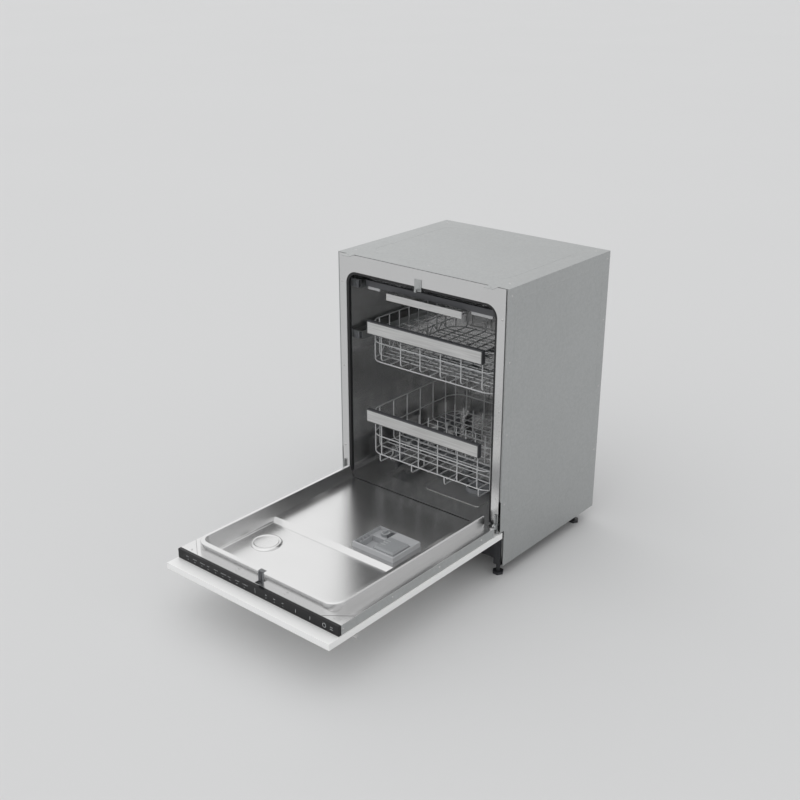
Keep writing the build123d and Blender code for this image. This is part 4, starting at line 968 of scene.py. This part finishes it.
def side_sheets():
    """Folded front edge of each side sheet, and a pressed bead and screws on each sheet and the cover."""
    low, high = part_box("side_panels")
    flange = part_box("tub")[1].x
    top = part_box("top_plate")[1].z
    folds = Shape()
    beads = []
    heads = Shape()
    inset = 34 * MM
    y0, y1, z0, z1 = low.y + inset, high.y - inset, 0.2, high.z - inset
    for side in (-1, 1):
        folds.box(on_side(side, flange - 0.2 * MM, high.x - 0.5 * MM), (low.y + 0.4 * MM, low.y + 1.6 * MM),
                  (0.25, high.z - 0.5 * MM))
        x = side * (high.x - 1.1 * MM)
        beads.append(rounded([(x, y0, z0), (x, y1, z0), (x, y1, z1), (x, y0, z1)], 30 * MM, True))
        for y in (low.y + 15 * MM, high.y - 15 * MM):
            for z in (0.24, 0.45, 0.66, high.z - 20 * MM):
                heads.screw((side * (high.x - 1 * MM), y, z), X, side, SHEET_SCREW)
    x, y0, y1, z = high.x - 60 * MM, low.y + 70 * MM, high.y - 60 * MM, top - 1.1 * MM
    beads.append(rounded([(-x, y0, z), (x, y0, z), (x, y1, z), (-x, y1, z)], 40 * MM, True))
    for x in (-270 * MM, 0, 270 * MM):
        for y in (low.y + 45 * MM, high.y - 30 * MM):
            heads.screw((x, y, top - 1 * MM), Z, 1, SHEET_SCREW)
    folds.piece("side_sheet_folds", zinc_sheet, "cabinet", "zinc_steel")
    wires("casing_beads", [], 1.6 * MM, zinc_sheet, "cabinet", closed=beads)
    heads.piece("side_sheet_screws", screw_steel, "cabinet", "zinc_steel", smooth=40)


def back_details():
    """Two folded ties across the back, the pins that hold the felt, and the ribs of the base's rear wall."""
    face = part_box("insulation_jacket")[1].y
    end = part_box("side_panels")[1].x - 1 * MM
    ties = Shape()
    heads = Shape()
    for z in TIES:
        ties.box((-end, end), (face, face + 1 * MM), (z - 17 * MM, z + 17 * MM))
        for edge in (-17 * MM, 16 * MM):
            ties.box((-end, end), (face, face + 5 * MM), (z + edge, z + edge + 1 * MM))
        for x in (-250, -120, 0, 120, 250):
            heads.screw((x * MM, face + 1 * MM, z), Y, 1, SHEET_SCREW)
    ties.piece("rear_ties", zinc_sheet, "cabinet", "zinc_steel")
    heads.piece("rear_tie_screws", screw_steel, "cabinet", "zinc_steel", smooth=40)
    pins = Shape()
    pin = turning((11, 0), (10.4, 1.2), (4, 1.8), (3.4, 0.9), (0.3, 0.9))
    for x in (-210, -70, 70, 210):
        for z in (0.34, 0.48, 0.62, 0.75):
            pins.lathe(pin, (x * MM, face, z), Y, 24)
    pins.piece("felt_pins", dark_plastic, "cabinet", "dark_plastic", smooth=35)
    low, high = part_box("base_frame")
    depth = (high.y - 0.5 * MM, high.y + 5 * MM)
    half = 1.2 * MM
    z0, z1 = low.z + 6 * MM, low.z + 104 * MM
    ribs = Shape()
    # Places that leave room for the water inlet and the drain
    for x in (-270, -235, -130, -95, -60, -25, 10, 45, 80, 115, 150, 255, 280):
        ribs.box((x * MM - half, x * MM + half), depth, (z0, z1))
    for z in (z0, z1):
        ribs.box((-high.x, high.x), depth, (z - half, z + half))
    ribs.piece("base_rear_ribs", base_plastic, "cabinet", "dark_plastic", bevel=0.5 * MM)


def spring_coils():
    """Close-wound coils of the two door springs."""
    low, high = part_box("door_springs")
    radius = 5.1 * MM
    foot, length = 65 * MM, 55 * MM
    y = high.y - 5.5 * MM
    turns, steps = 24, 12
    routes = []
    for x in (low.x + 5.5 * MM, high.x - 5.5 * MM):
        coil = []
        for i in range(turns * steps + 1):
            angle = 2 * math.pi * i / steps
            coil.append((x + radius * math.cos(angle), y + radius * math.sin(angle),
                         foot + length * i / (turns * steps)))
        routes.append(coil)
    wires("door_spring_coils", routes, 0.9 * MM, spring_steel, "cabinet")


def stage():
    """Pale floor under a soft sky and two wide suns; metal sees the same pale room that the camera does."""
    bpy.ops.mesh.primitive_plane_add(size=FLOOR_SIDE)
    floor = bpy.context.object
    floor.name = "floor"
    # Smoothed screed: even and matt, so that only the soft shadow shows on it
    floor.data.materials.append(material("floor_pale_screed", BACKDROP, 0.0, 0.85, tone=0.01, patch=2.0,
                                         bump=0.0, shine=0.2))
    world = bpy.data.worlds.new("sky")
    bpy.context.scene.world = world
    world.use_nodes = True
    tree = world.node_tree
    tree.nodes.clear()
    ray = add(tree, "ShaderNodeLightPath")
    seen = add(tree, "ShaderNodeMath", {0: ray.outputs["Is Camera Ray"], 1: ray.outputs["Is Glossy Ray"]},
               operation="MAXIMUM")
    seen = add(tree, "ShaderNodeMath", {0: seen.outputs[0], 1: ray.outputs["Is Transmission Ray"]},
               operation="MAXIMUM")
    room = add(tree, "ShaderNodeBackground", {"Color": linear(ROOM), "Strength": 1.0})
    light = add(tree, "ShaderNodeBackground", {"Color": linear(SKY), "Strength": SKY_LEVEL})
    mixed = add(tree, "ShaderNodeMixShader", {0: seen.outputs[0], 1: light.outputs[0], 2: room.outputs[0]})
    add(tree, "ShaderNodeOutputWorld", {"Surface": mixed.outputs[0]})
    for name, place, power, width in SUNS:
        lamp = bpy.data.lights.new(name, "SUN")
        lamp.energy, lamp.angle = power, math.radians(width)
        obj = bpy.data.objects.new(name, lamp)
        obj.rotation_euler = Vector(place).to_track_quat("Z", "Y").to_euler()
        bpy.context.scene.collection.objects.link(obj)


def camera():
    """Camera at the photograph's angle, and the plain view transform."""
    lens = bpy.data.cameras.new("camera")
    lens.lens = CAMERA_LENS
    lens.sensor_width = 36
    obj = bpy.data.objects.new("camera", lens)
    obj.location = CAMERA_PLACE
    obj.rotation_euler = (math.radians(90 - CAMERA_PITCH), 0, math.radians(CAMERA_YAW))
    bpy.context.scene.collection.objects.link(obj)
    scene = bpy.context.scene
    scene.camera = obj
    scene.view_settings.view_transform = "Standard"


for build in (dress_door, door_screws, corner_seams, field_bead, strip_marks, latch_parts,
              dispenser_details, handle_ends, lower_basket, upper_basket, tine_rows, cup_shelves, wheels,
              axle_caps, brace_wires, dress_racks, grips, rail_parts, tray, dress_cabinet, spray_jets,
              strainer_details, pipe_clips, casing_screws, side_sheets, back_details, spring_coils, stage,
              camera):
    build()
